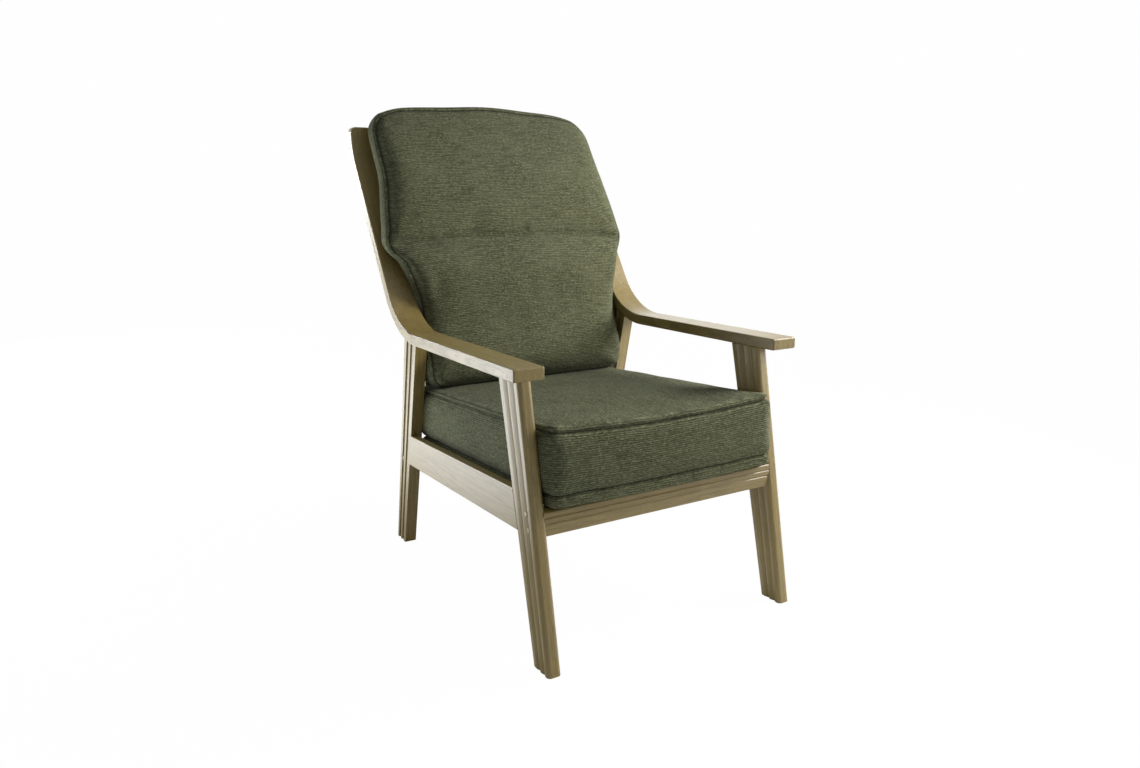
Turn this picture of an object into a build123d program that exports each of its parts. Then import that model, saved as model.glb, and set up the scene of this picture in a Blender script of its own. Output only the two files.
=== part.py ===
from build123d import *
import os
from math import atan, cos, degrees, sin, sqrt, tan

# Show-wood armchair: bent arm posts, reeded legs, loose seat and back cushions.
# All lengths are in millimetres. +Z is up and the chair faces -Y.
# Every function works from the front edge of the front feet at Y = 0, and the finished
# pieces are moved at the end, so that the origin is under the middle of the chair.
# Left and right are as seen from in front: left is -X.

# Arm post: one bent piece that is arm rest and back post
arm_outer_half = 363.0
arm_width = 67.5
arm_thick = 26.5
arm_front_y = 62.5
arm_front_z = 620.0
low_bend_y = 685.2
low_bend_z = 611.5
high_bend_y = 978.0
high_bend_z = 1052.4
post_top_straight = 13.3
low_bend_radius = 195.0
high_bend_radius = 150.0
arm_edge_round = 3.0
arm_end_round = 4.0
post_corner_round = 14.0
post_taper_start_z = 720.0
post_taper = 10.5
arm_inner_half = arm_outer_half - arm_width
post_lean = (high_bend_y - low_bend_y) / (high_bend_z - low_bend_z)
high_bend_run = high_bend_radius * tan(atan(post_lean) / 2)
post_top_z = high_bend_z + high_bend_run + post_top_straight

# Legs: thickness, and depth places of the rounded and the flat narrow face
leg_thick = 31.5
leg_rule_z = 580.0
leg_blank_z = 700.0
front_leg_foot_front = 0.0
front_leg_foot_depth = 59.0
front_leg_top_front = 114.0
front_leg_top_depth = 85.0
rear_leg_foot_front = 801.0
rear_leg_foot_depth = 63.0
rear_leg_top_front = 659.0
rear_leg_top_depth = 85.0
reed_relief = 4.4
reed_edge_drop = 0.6
nose_radius = 9.0
first_reed_shares = (0.0, 0.18, 0.395)
second_reed_shares = (0.42, 0.478, 0.725)
third_reed_shares = (0.75, 0.81)
reed_bulge_share = 0.36
arc_middle_share = 0.2929

# Side rails
side_rail_thick = 20.0
rail_front_rule_y = 120.0
rail_rear_rule_y = 712.0
side_rail_top_front_z = 358.6
side_rail_top_rear_z = 323.0
side_rail_bottom_front_z = 272.6
side_rail_bottom_rear_z = 242.0
rail_edge_round = 2.0

# Front rail with two grooves
front_rail_front_y = 61.5
front_rail_thick = 36.0
front_rail_bottom_z = 273.6
front_rail_edge_z = 324.0
front_rail_crest_depth = 13.0
front_rail_round = 5.0
groove_upper_z = 312.0
groove_lower_z = 299.0
groove_height = 5.0
groove_depth = 2.6
groove_lip_round = 1.5

# Rear rails between the rear legs, and the top rail between the posts
seat_rail_y = 782.0
seat_rail_thick = 22.0
seat_rail_bottom_z = 212.0
back_rail_y = 768.0
back_rail_thick = 18.0
back_rail_bottom_z = 360.0
back_rail_top_z = 418.0
top_rail_height = 50.0
top_rail_thick = 18.0
top_rail_below = 41.0
top_rail_z = post_top_z - top_rail_below
housing_depth = 5.0

# Back slats
slat_width = 45.0
slat_thick = 10.0
slat_count = 5
slat_side_gap = 30.5
slat_pitch = 2 * (arm_inner_half - slat_side_gap - slat_width / 2) / (slat_count - 1)
slat_tenon = 15.0
slat_bend_radius = 250.0
slat_top_below = 12.0
slat_top_z = top_rail_z - slat_top_below
slat_edge_round = 2.0

# Bolts, barrel nuts, caps and dowels
bolt_shank_radius = 3.0
bolt_head_radius = 5.0
bolt_head_height = 4.0
bolt_reach = 62.0
bolt_seat_depth = 8.0
bolt_play = 0.2
cap_radius = 5.5
cap_height = 4.4
cap_crown = 1.2
cap_play = 0.05
nut_radius = 5.0
nut_length = 14.0
nut_back = 12.0
nut_play = 0.1
lower_front_bolt_y = 79.0
lower_front_bolt_z = 287.0
upper_front_bolt_y = 88.0
upper_front_bolt_z = 319.0
seat_rail_bolt_z = 248.0
back_rail_bolt_z = 390.0
dowel_radius = 5.0
dowel_length = 60.0
dowel_play = 0.1
rail_dowel_inset = 22.0
arm_dowel_length = 42.0
arm_dowel_rise = 16.0
arm_dowel_spread = 20.0

# Seat straps and their clips
strap_width = 54.0
strap_thick = 2.5
strap_count = 5
strap_nut_gap = 2.5
strap_pitch = 2 * (arm_inner_half - bolt_reach - strap_nut_gap - strap_width / 2) / (strap_count - 1)
strap_line_y = 72.5
strap_line_z = 331.0
strap_front_y = 82.0
strap_drop = 11.0
clip_sheet = 1.0
clip_height = 9.0
clip_play = 0.05

# Seat cushion, in its own frame: depth along the seat, height from its underside
seat_side_gap = 7.0
seat_half_width = arm_inner_half - seat_side_gap
seat_front_y = 40.5
seat_rear_gap = 11.0
seat_rear_y = back_rail_y - back_rail_thick / 2 - seat_rear_gap
seat_corner_round = 24.0
seat_lower_seam = 25.0
seat_upper_seam = 151.0
seat_rear_drop = 8.0
seat_clear = 0.3
seam_inset = 4.0
seat_core_side = 30.0
seat_core_low = 22.0
seat_core_high = 132.0
seat_core_round = 14.0
seat_zip_length = 430.0
seat_zip_height = 24.0
seat_zip_thick = 3.0
seat_under = [(0.0, 22.0), (3.0, 13.0), (10.0, 6.0), (18.0, 4.0)]
seat_side = [(0.18, 2.0), (0.5, 0.0), (0.82, 2.0)]
seat_crown = [(2.5, 3.0), (6.0, 7.0), (9.0, 20.0), (11.0, 50.0), (12.5, 100.0), (13.0, 170.0)]

# Back cushion, one row a level: height, front seam ahead of the slats, swell of the front
# panel, rear seam ahead of the slats, gap to the slats
back_levels = [
    (450.5, 73.0, 4.0, 23.0, 1.8),
    (456.0, 87.0, 12.0, 14.0, 2.0),
    (477.0, 103.0, 24.0, 8.0, 1.0),
    (516.0, 103.0, 26.0, 7.0, 0.3),
    (570.0, 82.0, 25.0, 7.0, 0.3),
    (624.0, 63.0, 24.0, 7.0, 0.4),
    (679.0, 58.5, 24.0, 13.5, 3.6),
    (700.0, 58.0, 28.0, 21.0, 2.0),
    (715.0, 58.3, 30.0, 31.3, 2.0),
    (745.0, 64.1, 32.0, 25.1, 2.0),
    (778.0, 71.7, 28.0, 25.7, 2.0),
    (800.0, 66.3, 20.0, 24.3, 2.5),
    (821.0, 72.2, 4.0, 24.2, 2.5),
    (826.0, 72.6, 4.0, 24.6, 2.5),
    (845.0, 82.2, 20.0, 33.2, 2.5),
    (900.0, 95.7, 25.0, 46.7, 2.5),
    (975.0, 110.5, 25.0, 60.5, 3.0),
    (1037.0, 107.2, 25.0, 58.2, 4.0),
    (1087.0, 85.9, 24.0, 36.9, 18.0),
    (1110.0, 72.2, 22.0, 23.2, 16.0),
    (1130.0, 60.2, 19.0, 15.2, 13.2),
    (1146.0, 52.2, 14.0, 15.2, 13.7),
    (1158.0, 48.2, 10.0, 19.2, 18.2),
    (1165.0, 46.2, 6.0, 23.2, 22.7),
    (1169.5, 42.2, 3.0, 27.2, 27.0),
]
# Its half width at each of those levels, as a share of the half width between the arms
back_half_shares = [
    0.863, 0.924, 0.958, 0.964, 0.968, 0.971, 0.981, 0.995, 1.012,
    1.042, 1.086, 1.151, 1.174, 1.174, 1.161, 1.137, 1.100, 1.093,
    1.090, 1.066, 1.012, 0.914, 0.765, 0.481, 0.210,
]
back_rear_inset = 1.0
back_core_inset = 55.5
back_core_levels = [
    (486.0, 73.0, 25.0),
    (650.0, 49.3, 25.3),
    (730.0, 45.7, 34.7),
    (826.0, 57.6, 37.6),
    (1090.0, 76.1, 36.1),
]
back_core_round = 8.0
back_zip_inset = 80.5
back_zip_height = 24.0
back_zip_thick = 3.0
back_zip_z = 600.0
back_zip_gap = 1.2

# How far a cutting body runs past the piece that it cuts
overrun = 40.0

strap_slope = (side_rail_top_front_z - side_rail_top_rear_z) / (rail_rear_rule_y - rail_front_rule_y)
depth_centre = (high_bend_y + arm_thick) / 2
leg_outer = arm_inner_half + leg_thick
full_width = 2 * arm_outer_half


def side_face(points, radii):
    """Flat outline seen from the side, from (depth, height) pairs."""
    corners = [Vector(0, depth, height) for depth, height in points]
    return make_face(FilletPolyline(*corners, radius=radii, close=True).edges())


def side_body(points, radii, start, width):
    """Outline seen from the side, as thick as width from X = start."""
    face = side_face(points, radii)
    return Pos(start, 0, 0) * extrude(face, amount=width, dir=(1, 0, 0))


def meet(first, second):
    """Where two lines cross, each given as (depth, height, direction depth, direction height)."""
    y1, z1, dy1, dz1 = first
    y2, z2, dy2, dz2 = second
    ratio = ((y2 - y1) * dz2 - (z2 - z1) * dy2) / (dy1 * dz2 - dz1 * dy2)
    return (y1 + ratio * dy1, z1 + ratio * dz1)


def shifted(line, distance):
    """Line moved square to itself, towards the back and underside of the arm post."""
    y, z, dy, dz = line
    length = sqrt(dy * dy + dz * dz)
    return (y + distance * dz / length, z - distance * dy / length, dy, dz)


arm_line = (arm_front_y, arm_front_z, low_bend_y - arm_front_y, low_bend_z - arm_front_z)
post_line = (low_bend_y, low_bend_z, high_bend_y - low_bend_y, high_bend_z - low_bend_z)
top_line = (high_bend_y, high_bend_z, 0, post_top_z - high_bend_z)


def arm_path(distance):
    """Corners of the arm post's line, moved back from its top face by distance."""
    arm = shifted(arm_line, distance)
    post = shifted(post_line, distance)
    top = shifted(top_line, distance)
    return [(arm[0], arm[1]), meet(arm, post), meet(post, top), (top[0], post_top_z)]


def arm_post():
    """Right arm post, with its tapered post and rounded edges."""
    upper = arm_path(0)
    lower = arm_path(arm_thick)
    points = upper + lower[::-1]
    end = arm_end_round
    low = low_bend_radius
    high = high_bend_radius
    radii = [end, low, high, 0, 0, high + arm_thick, low + arm_thick, end]
    blank = side_body(points, radii, arm_inner_half, arm_width)
    far = arm_inner_half - overrun
    wedge_points = [
        (arm_inner_half, post_taper_start_z),
        (arm_inner_half + post_taper, post_top_z),
        (arm_inner_half + post_taper, post_top_z + overrun),
        (far, post_top_z + overrun),
        (far, post_taper_start_z),
    ]
    outline = Polyline(*[Vector(x, 0, z) for x, z in wedge_points], close=True)
    wedge = extrude(make_face(outline.edges()), amount=high_bend_y + overrun, dir=(0, 1, 0))
    blank -= wedge
    top_edges = blank.edges().group_by(Axis.Z)[-1].filter_by(Axis.Y)
    blank = fillet(top_edges, post_corner_round)
    long_edges = [edge for edge in blank.edges() if not lies_across(edge)]
    return fillet(long_edges, arm_edge_round)


def lies_across(edge):
    """True of an edge that runs straight across the width of the arm post."""
    box = edge.bounding_box()
    straight = edge.geom_type == GeomType.LINE
    return straight and box.size.X > arm_width / 2 and box.size.Z < arm_edge_round


def leg_outline(round_y, flat_y, z):
    """Section of a leg: flat narrow face, three reeds on each broad face, rounded narrow face."""
    span = round_y - flat_y
    nose = nose_radius if span > 0 else -nose_radius

    def broad_face(side):
        """Lines and arcs of one broad face, from the flat face to the rounded one."""

        def place(share, drop):
            crest = arm_inner_half if side < 0 else leg_outer
            return Vector(crest - side * drop, flat_y + span * share, z)

        segments = []
        reeds = (first_reed_shares, second_reed_shares, third_reed_shares)
        for reed, following in zip(reeds, reeds[1:]):
            start, crest, foot = reed
            low = place(foot, reed_relief)
            bulge = place((crest + foot) / 2, reed_relief * reed_bulge_share)
            segments.append((place(start, reed_edge_drop), place(crest, 0)))
            segments.append((place(crest, 0), bulge, low))
            segments.append((low, place(following[0], reed_edge_drop)))
        start, crest = third_reed_shares
        segments.append((place(start, reed_edge_drop), place(crest, 0)))
        nose_start = place(1 - nose / span, 0)
        nose_middle = place(1 - nose * arc_middle_share / span, nose_radius * arc_middle_share)
        segments.append((place(crest, 0), nose_start))
        segments.append((nose_start, nose_middle, place(1, nose_radius)))
        return segments

    inner = broad_face(-1)
    outer = [segment[::-1] for segment in broad_face(1)[::-1]]
    across_front = [(inner[-1][-1], outer[0][0])]
    across_rear = [(outer[-1][-1], inner[0][0])]
    edges = []
    for segment in inner + across_front + outer + across_rear:
        make = Edge.make_line if len(segment) == 2 else Edge.make_three_point_arc
        edges.append(make(*segment))
    return Face(Wire(edges))


def at_height(foot, top, z):
    """Value of a length that changes evenly from the foot to the rule height."""
    return foot + (top - foot) * z / leg_rule_z


def front_leg_edges(z):
    """Depth of the front and rear narrow faces of a front leg at a height."""
    front = at_height(front_leg_foot_front, front_leg_top_front, z)
    return front, front + at_height(front_leg_foot_depth, front_leg_top_depth, z)


def rear_leg_edges(z):
    """Depth of the front and rear narrow faces of a rear leg at a height."""
    front = at_height(rear_leg_foot_front, rear_leg_top_front, z)
    return front, front + at_height(rear_leg_foot_depth, rear_leg_top_depth, z)


def above_arm():
    """Space above the underside of the arm post, which the legs must not enter."""
    lower = arm_path(arm_thick)
    high = post_top_z + overrun
    before = (-overrun, 0, 0, high)
    start = meet(shifted(arm_line, arm_thick), before)
    points = [start, lower[1], lower[2], (lower[3][0], high), (-overrun, high)]
    radii = [0, low_bend_radius + arm_thick, high_bend_radius + arm_thick, 0, 0]
    return side_body(points, radii, arm_inner_half - overrun, full_width)


def leg_body(edges_at, rounded):
    """Leg from floor to arm; rounded is 0 where its front face is rounded, 1 where its rear is."""
    sections = []
    for z in (0, leg_blank_z):
        faces = edges_at(z)
        sections.append(leg_outline(faces[rounded], faces[1 - rounded], z))
    return loft(sections, ruled=True) - above_arm()


def rail_line(front_z, rear_z):
    """Sloping line of a side rail, through its two rule places."""
    return (rail_front_rule_y, front_z, rail_rear_rule_y - rail_front_rule_y, rear_z - front_z)


def leg_face_line(edges_at, which):
    """Line of a leg's narrow face, seen from the side."""
    low = edges_at(0)[which]
    high = edges_at(leg_rule_z)[which]
    return (low, 0, high - low, leg_rule_z)


def side_rail():
    """Right side rail between the flat faces of its two legs."""
    top = rail_line(side_rail_top_front_z, side_rail_top_rear_z)
    bottom = rail_line(side_rail_bottom_front_z, side_rail_bottom_rear_z)
    front = leg_face_line(front_leg_edges, 1)
    rear = leg_face_line(rear_leg_edges, 0)
    points = [meet(top, front), meet(top, rear), meet(bottom, rear), meet(bottom, front)]
    body = side_body(points, [0, 0, 0, 0], leg_outer - side_rail_thick, side_rail_thick)
    long_edges = [edge for edge in body.edges() if edge.bounding_box().size.Y > rail_front_rule_y]
    return fillet(long_edges, rail_edge_round)


def strap_top(depth):
    """Height of the top face of the seat straps at a depth."""
    return strap_line_z - (depth - strap_line_y) * strap_slope


def front_rail():
    """Front rail with two grooves, its ends housed in the legs."""
    rear_y = front_rail_front_y + front_rail_thick
    crest_y = front_rail_front_y + front_rail_crest_depth
    half = groove_height / 2
    points = [(front_rail_front_y, front_rail_bottom_z)]
    for z in (groove_lower_z, groove_upper_z):
        points.append((front_rail_front_y, z - half))
        points.append((front_rail_front_y + groove_depth, z))
        points.append((front_rail_front_y, z + half))
    points += [
        (front_rail_front_y, front_rail_edge_z),
        (crest_y, strap_top(crest_y) - strap_thick),
        (rear_y, strap_top(rear_y) - strap_thick),
        (rear_y, front_rail_bottom_z),
    ]
    radii = [rail_edge_round, 0, groove_lip_round, 0, 0, groove_lip_round, 0]
    radii += [front_rail_round, 0, 0, rail_edge_round]
    half_length = arm_inner_half + housing_depth
    return side_body(points, radii, -half_length, 2 * half_length)


def seat_rail():
    """Rear seat rail, which carries the straps' rear ends."""
    front = seat_rail_y - seat_rail_thick / 2
    rear = seat_rail_y + seat_rail_thick / 2
    points = [
        (front, seat_rail_bottom_z),
        (front, strap_top(front) - strap_thick),
        (rear, strap_top(rear) - strap_thick),
        (rear, seat_rail_bottom_z),
    ]
    half_length = arm_inner_half + housing_depth
    edge = rail_edge_round
    return side_body(points, [edge, 0, edge, edge], -half_length, 2 * half_length)


def back_rail():
    """Lower back rail, which holds the feet of the slats."""
    front = back_rail_y - back_rail_thick / 2
    rear = back_rail_y + back_rail_thick / 2
    points = [
        (front, back_rail_bottom_z),
        (front, back_rail_top_z),
        (rear, back_rail_top_z),
        (rear, back_rail_bottom_z),
    ]
    half_length = arm_inner_half + housing_depth
    edge = rail_edge_round
    return side_body(points, [edge, edge, edge, edge], -half_length, 2 * half_length)


def post_middle(z):
    """Depth and lean of the middle line of a post inside its upper bend."""
    middle = arm_path(arm_thick / 2)
    radius = high_bend_radius + arm_thick / 2
    lean = atan(post_lean)
    bend_top = middle[2][1] + radius * tan(lean / 2)
    turn = (bend_top - z) / radius
    depth = middle[2][0] - radius * (1 - sqrt(1 - turn * turn))
    return depth, atan(turn / sqrt(1 - turn * turn))


def top_rail():
    """Top back rail between the posts, leaning as they do at its height."""
    depth, lean = post_middle(top_rail_z)
    inner = arm_inner_half + post_taper + housing_depth
    blank = Box(2 * inner, top_rail_thick, top_rail_height)
    long_edges = blank.edges().filter_by(Axis.X)
    blank = fillet(long_edges, rail_edge_round)
    return Pos(0, depth, top_rail_z) * Rot(-degrees(lean), 0, 0) * blank


def slat(middle_x):
    """Back slat: upright above the seat, then leaning as the posts do."""
    centre = arm_path(arm_thick / 2)
    post = shifted(post_line, arm_thick / 2)
    top = shifted(top_line, arm_thick / 2)
    lines = []
    for distance in (-slat_thick / 2, slat_thick / 2):
        upright = shifted((back_rail_y, 0, 0, post_top_z), distance)
        lean = shifted(post, distance)
        high = shifted(top, distance)
        start = (upright[0], back_rail_top_z - slat_tenon)
        lines.append([start, meet(upright, lean), meet(lean, high), (high[0], post_top_z)])
    points = lines[0] + lines[1][::-1]
    low = slat_bend_radius
    high_radius = centre[2][0] - high_bend_y + high_bend_radius
    half = slat_thick / 2
    radii = [0, low + half, high_radius - half, 0, 0, high_radius + half, low - half, 0]
    blank = side_body(points, radii, middle_x - slat_width / 2, slat_width)
    cutter = Box(full_width, full_width, full_width)
    blank -= Pos(0, high_bend_y, slat_top_z + full_width / 2) * cutter
    long_edges = [edge for edge in blank.edges() if edge.bounding_box().size.Z > slat_thick]
    return fillet(long_edges, slat_edge_round)


def strap_ends():
    """Depth of the front and rear end folds of a strap."""
    return strap_front_y, seat_rail_y - strap_thick / 2


def strap(middle_x):
    """Seat strap over the front and rear rails, its ends turned down into their grooves."""
    front, rear = strap_ends()
    inner_front = front + strap_thick
    inner_rear = rear
    rear_out = rear + strap_thick
    points = [
        (front, strap_top(front) - strap_drop),
        (front, strap_top(front)),
        (rear_out, strap_top(rear_out)),
        (rear_out, strap_top(rear_out) - strap_drop),
        (inner_rear, strap_top(rear_out) - strap_drop),
        (inner_rear, strap_top(inner_rear) - strap_thick),
        (inner_front, strap_top(inner_front) - strap_thick),
        (inner_front, strap_top(front) - strap_drop),
    ]
    bend = strap_thick - clip_sheet / 2
    radii = [0, bend, bend, 0, 0, 0, 0, 0]
    return side_body(points, radii, middle_x - strap_width / 2, strap_width)


def clip(middle_x, depth, top):
    """Folded steel clip round the end of a strap, open at its top."""
    outer_width = strap_thick + 2 * (clip_sheet + clip_play)
    centre_z = top - strap_drop + clip_height / 2 - clip_sheet
    outer = Pos(middle_x, depth, centre_z) * Box(strap_width, outer_width, clip_height)
    hollow = Box(strap_width + overrun, strap_thick + 2 * clip_play, clip_height)
    return outer - Pos(middle_x, depth, centre_z + clip_sheet - clip_play) * hollow


def clip_places():
    """Middle X, middle depth and strap height of each clip."""
    front, rear = strap_ends()
    places = []
    for index in range(strap_count):
        middle_x = (index - (strap_count - 1) / 2) * strap_pitch
        places.append((middle_x, front + strap_thick / 2, strap_top(front)))
        places.append((middle_x, rear + strap_thick / 2, strap_top(rear + strap_thick)))
    return places


def clip_groove(middle_x, depth, top):
    """Groove in a rail that takes a clip and the strap end in it."""
    width = strap_thick + 2 * (clip_sheet + 2 * clip_play)
    bottom = top - strap_drop - clip_sheet - clip_play
    height = overrun
    return Pos(middle_x, depth, bottom + height / 2) * Box(strap_width + clip_sheet, width, height)


def bolt_places():
    """Depth, height and X of the outer wood face of each bolt, by the rail that it holds."""
    depth = post_middle(top_rail_z)[0]
    lower_front = (lower_front_bolt_y, lower_front_bolt_z, leg_outer)
    upper_front = (upper_front_bolt_y, upper_front_bolt_z, leg_outer)
    return {
        "front": [lower_front, upper_front],
        "seat": [(seat_rail_y, seat_rail_bolt_z, leg_outer)],
        "back": [(back_rail_y, back_rail_bolt_z, leg_outer)],
        "top": [(depth, top_rail_z, arm_outer_half)],
    }


def along_x(radius, start, end, depth, height):
    """Round bar along X from start to end."""
    length = end - start
    bar = Rot(0, 90, 0) * Cylinder(radius, length)
    return Pos((start + end) / 2, depth, height) * bar


def bolt(place):
    """Bolt with a round head, sunk in the outer face."""
    depth, height, outer = place
    seat = outer - bolt_seat_depth
    inner_face = arm_inner_half
    head = along_x(bolt_head_radius, seat, seat + bolt_head_height, depth, height)
    shank = along_x(bolt_shank_radius, inner_face - bolt_reach, seat, depth, height)
    return head + shank


def bolt_hole(place):
    """Hole for a bolt, its head and its cap."""
    depth, height, outer = place
    seat = outer - bolt_seat_depth
    shank_end = arm_inner_half - bolt_reach - bolt_play
    shank = along_x(bolt_shank_radius + bolt_play, shank_end, seat + bolt_play, depth, height)
    head = along_x(cap_radius, seat, outer + overrun, depth, height)
    return shank + head


def bolt_cap(place):
    """Cap in the mouth of a bolt hole, slightly crowned."""
    depth, height, outer = place
    start = outer - bolt_seat_depth + bolt_head_height
    body = along_x(cap_radius - cap_play, start, start + cap_height, depth, height)
    edge = body.edges().filter_by(GeomType.CIRCLE).sort_by(Axis.X)[-1]
    return fillet(edge, cap_crown)


def nut_middle():
    """X of the middle of a barrel nut."""
    return arm_inner_half - bolt_reach + nut_back


def nut(place):
    """Barrel nut across a rail, with the bolt running through it."""
    depth, height, outer = place
    middle = nut_middle()
    body = Pos(middle, depth, height) * Rot(90, 0, 0) * Cylinder(nut_radius, nut_length)
    inner = middle - nut_radius - overrun
    return body - along_x(bolt_shank_radius + nut_play, inner, outer, depth, height)


def nut_hole(place):
    """Cross hole for a barrel nut."""
    depth, height, outer = place
    length = nut_length + 2 * nut_play
    return Pos(nut_middle(), depth, height) * Rot(90, 0, 0) * Cylinder(nut_radius + nut_play, length)


def rail_dowels(play):
    """Dowels between the right side rail and its legs."""
    bodies = []
    slope = -degrees(atan(strap_slope))
    middle_x = leg_outer - side_rail_thick / 2
    radius = dowel_radius + play
    length = dowel_length + play
    top = rail_line(side_rail_top_front_z, side_rail_top_rear_z)
    bottom = rail_line(side_rail_bottom_front_z, side_rail_bottom_rear_z)
    for face in (leg_face_line(front_leg_edges, 1), leg_face_line(rear_leg_edges, 0)):
        high_y, high_z = meet(top, face)
        low_y, low_z = meet(bottom, face)
        share = rail_dowel_inset / (high_z - low_z)
        for part in (share, 1 - share):
            depth = low_y + (high_y - low_y) * part
            height = low_z + (high_z - low_z) * part
            bar = Rot(90 + slope, 0, 0) * Cylinder(radius, length)
            bodies.append(Pos(middle_x, depth, height) * bar)
    return bodies


def arm_dowels(play):
    """Upright dowels between the tops of the right legs and their arm post."""
    bodies = []
    middle_x = arm_inner_half + leg_thick / 2
    radius = dowel_radius + play
    length = arm_dowel_length + play
    lower = arm_path(arm_thick)
    for edges_at in (front_leg_edges, rear_leg_edges):
        front, rear = edges_at(lower[1][1])
        middle = (front + rear) / 2
        for step in (-arm_dowel_spread, arm_dowel_spread):
            depth = middle + step
            slope = (lower[1][1] - lower[0][1]) / (lower[1][0] - lower[0][0])
            under = lower[0][1] + (depth - lower[0][0]) * slope
            top = under + arm_dowel_rise
            bar = Cylinder(radius, length)
            bodies.append(Pos(middle_x, depth, top - arm_dowel_length / 2) * bar)
    return bodies


def seat_place():
    """Place of the seat cushion's own frame in the chair."""
    height = strap_top(seat_front_y) + seat_clear
    return Pos(0, seat_front_y, height) * Rot(-degrees(atan(strap_slope)), 0, 0)


def seat_length():
    """Length of the seat cushion along the seat."""
    return (seat_rear_y - seat_front_y) / cos(atan(strap_slope))


def seat_section(height, inset, drop):
    """Rounded outline of the seat cushion at a height, lower at the rear by drop."""
    width = 2 * (seat_half_width - inset)
    length = seat_length() - 2 * inset
    radius = seat_corner_round
    tilt = -degrees(atan(drop / seat_length()))
    outline = RectangleRounded(width, length, radius)
    return Pos(0, seat_length() / 2, height - drop / 2) * Rot(tilt, 0, 0) * outline


def seat_form():
    """Outer form of the seat cushion in its own frame: underside, boxing and crown."""
    under = []
    for height, inset in seat_under:
        under.append(seat_section(height, inset, 0))
    under.append(seat_section(seat_lower_seam, seam_inset, 0))
    side = [seat_section(seat_lower_seam, seam_inset, 0)]
    rise = seat_upper_seam - seat_lower_seam
    for share, inset in seat_side:
        side.append(seat_section(seat_lower_seam + rise * share, inset, seat_rear_drop * share))
    side.append(seat_section(seat_upper_seam, seam_inset, seat_rear_drop))
    crown = [seat_section(seat_upper_seam, seam_inset, seat_rear_drop)]
    for height, inset in seat_crown:
        crown.append(seat_section(seat_upper_seam + height, inset, seat_rear_drop))
    return loft(under, ruled=True) + loft(side, ruled=True) + loft(crown, ruled=True)


def seat_core():
    """Foam core of the seat cushion in its own frame."""
    width = 2 * (seat_half_width - seat_core_side)
    length = seat_length() - 2 * seat_core_side
    height = seat_core_high - seat_core_low
    block = Box(width, length, height)
    block = fillet(block.edges().filter_by(Axis.Z), seat_core_round)
    return Pos(0, seat_length() / 2, seat_core_low + height / 2) * block


def seat_zip():
    """Zip in the rear boxing of the seat cushion, in its own frame."""
    depth = seat_length() - seat_zip_thick / 2
    height = (seat_lower_seam + seat_upper_seam) / 2 - seat_rear_drop / 2
    return Pos(0, depth, height) * Box(seat_zip_length, seat_zip_thick, seat_zip_height)


def slat_face(z):
    """Depth of the slats' front faces at a height: upright, bent back, leaning, bent upright."""
    half = slat_thick / 2
    lean = atan(post_lean)
    post = shifted(post_line, arm_thick / 2)
    upright = (back_rail_y, 0, 0, post_top_z)
    top = shifted(top_line, arm_thick / 2)
    low_start = meet(upright, post)[1] - slat_bend_radius * tan(lean / 2)
    low_radius = slat_bend_radius + half
    high_radius = high_bend_radius + arm_thick / 2
    high_end = meet(post, top)[1] + high_radius * tan(lean / 2)
    if z <= low_start:
        return back_rail_y - half
    if z < low_start + low_radius * sin(lean):
        return back_rail_y + slat_bend_radius - sqrt(low_radius**2 - (z - low_start) ** 2)
    inner_radius = high_radius - half
    if z < high_end - inner_radius * sin(lean):
        level = (0, z, 1, 0)
        return meet(shifted(post, -half), level)[0]
    if z < high_end:
        return top[0] - high_radius + sqrt(inner_radius**2 - (high_end - z) ** 2)
    return top[0] - half


def back_section(level, half_share):
    """Outline of the back cushion at one height, swelling at front and rear."""
    z, front_ahead, front_swell, rear_ahead, gap = level
    front_half = arm_inner_half * half_share
    rear_half = front_half - back_rear_inset
    face = slat_face(z)
    front_y = face - front_ahead
    rear_y = face - rear_ahead
    front_left = Vector(-front_half, front_y, z)
    front_right = Vector(front_half, front_y, z)
    rear_right = Vector(rear_half, rear_y, z)
    rear_left = Vector(-rear_half, rear_y, z)
    edges = [
        Edge.make_three_point_arc(front_left, Vector(0, front_y - front_swell, z), front_right),
        Edge.make_line(front_right, rear_right),
        Edge.make_three_point_arc(rear_right, Vector(0, face - gap, z), rear_left),
        Edge.make_line(rear_left, front_left),
    ]
    return Face(Wire(edges))


def back_form():
    """Outer form of the back cushion: lumbar swell, sewn crease, leaning head part."""
    sections = [back_section(*pair) for pair in zip(back_levels, back_half_shares)]
    return loft(sections, ruled=True)


def back_core():
    """Core of the back cushion, bent as the cushion is."""
    front = [(slat_face(z) - ahead, z) for z, ahead, behind in back_core_levels]
    rear = [(slat_face(z) - behind, z) for z, ahead, behind in back_core_levels]
    points = front + rear[::-1]
    half = arm_inner_half - back_core_inset
    return side_body(points, [back_core_round] * len(points), -half, 2 * half)


def back_zip():
    """Zip in the rear of the back cushion."""
    depth = slat_face(back_zip_z) - back_zip_gap - back_zip_thick / 2
    length = 2 * (arm_inner_half - back_zip_inset)
    return Pos(0, depth, back_zip_z) * Box(length, back_zip_thick, back_zip_height)


def both_sides(bodies):
    """The given right-hand bodies together with their mirror images."""
    return list(bodies) + [mirror(body, about=Plane.YZ) for body in bodies]


def cut_all(body, cutters):
    """Body with each of the cutters taken away."""
    for cutter in cutters:
        body = body - cutter
    return body


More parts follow.
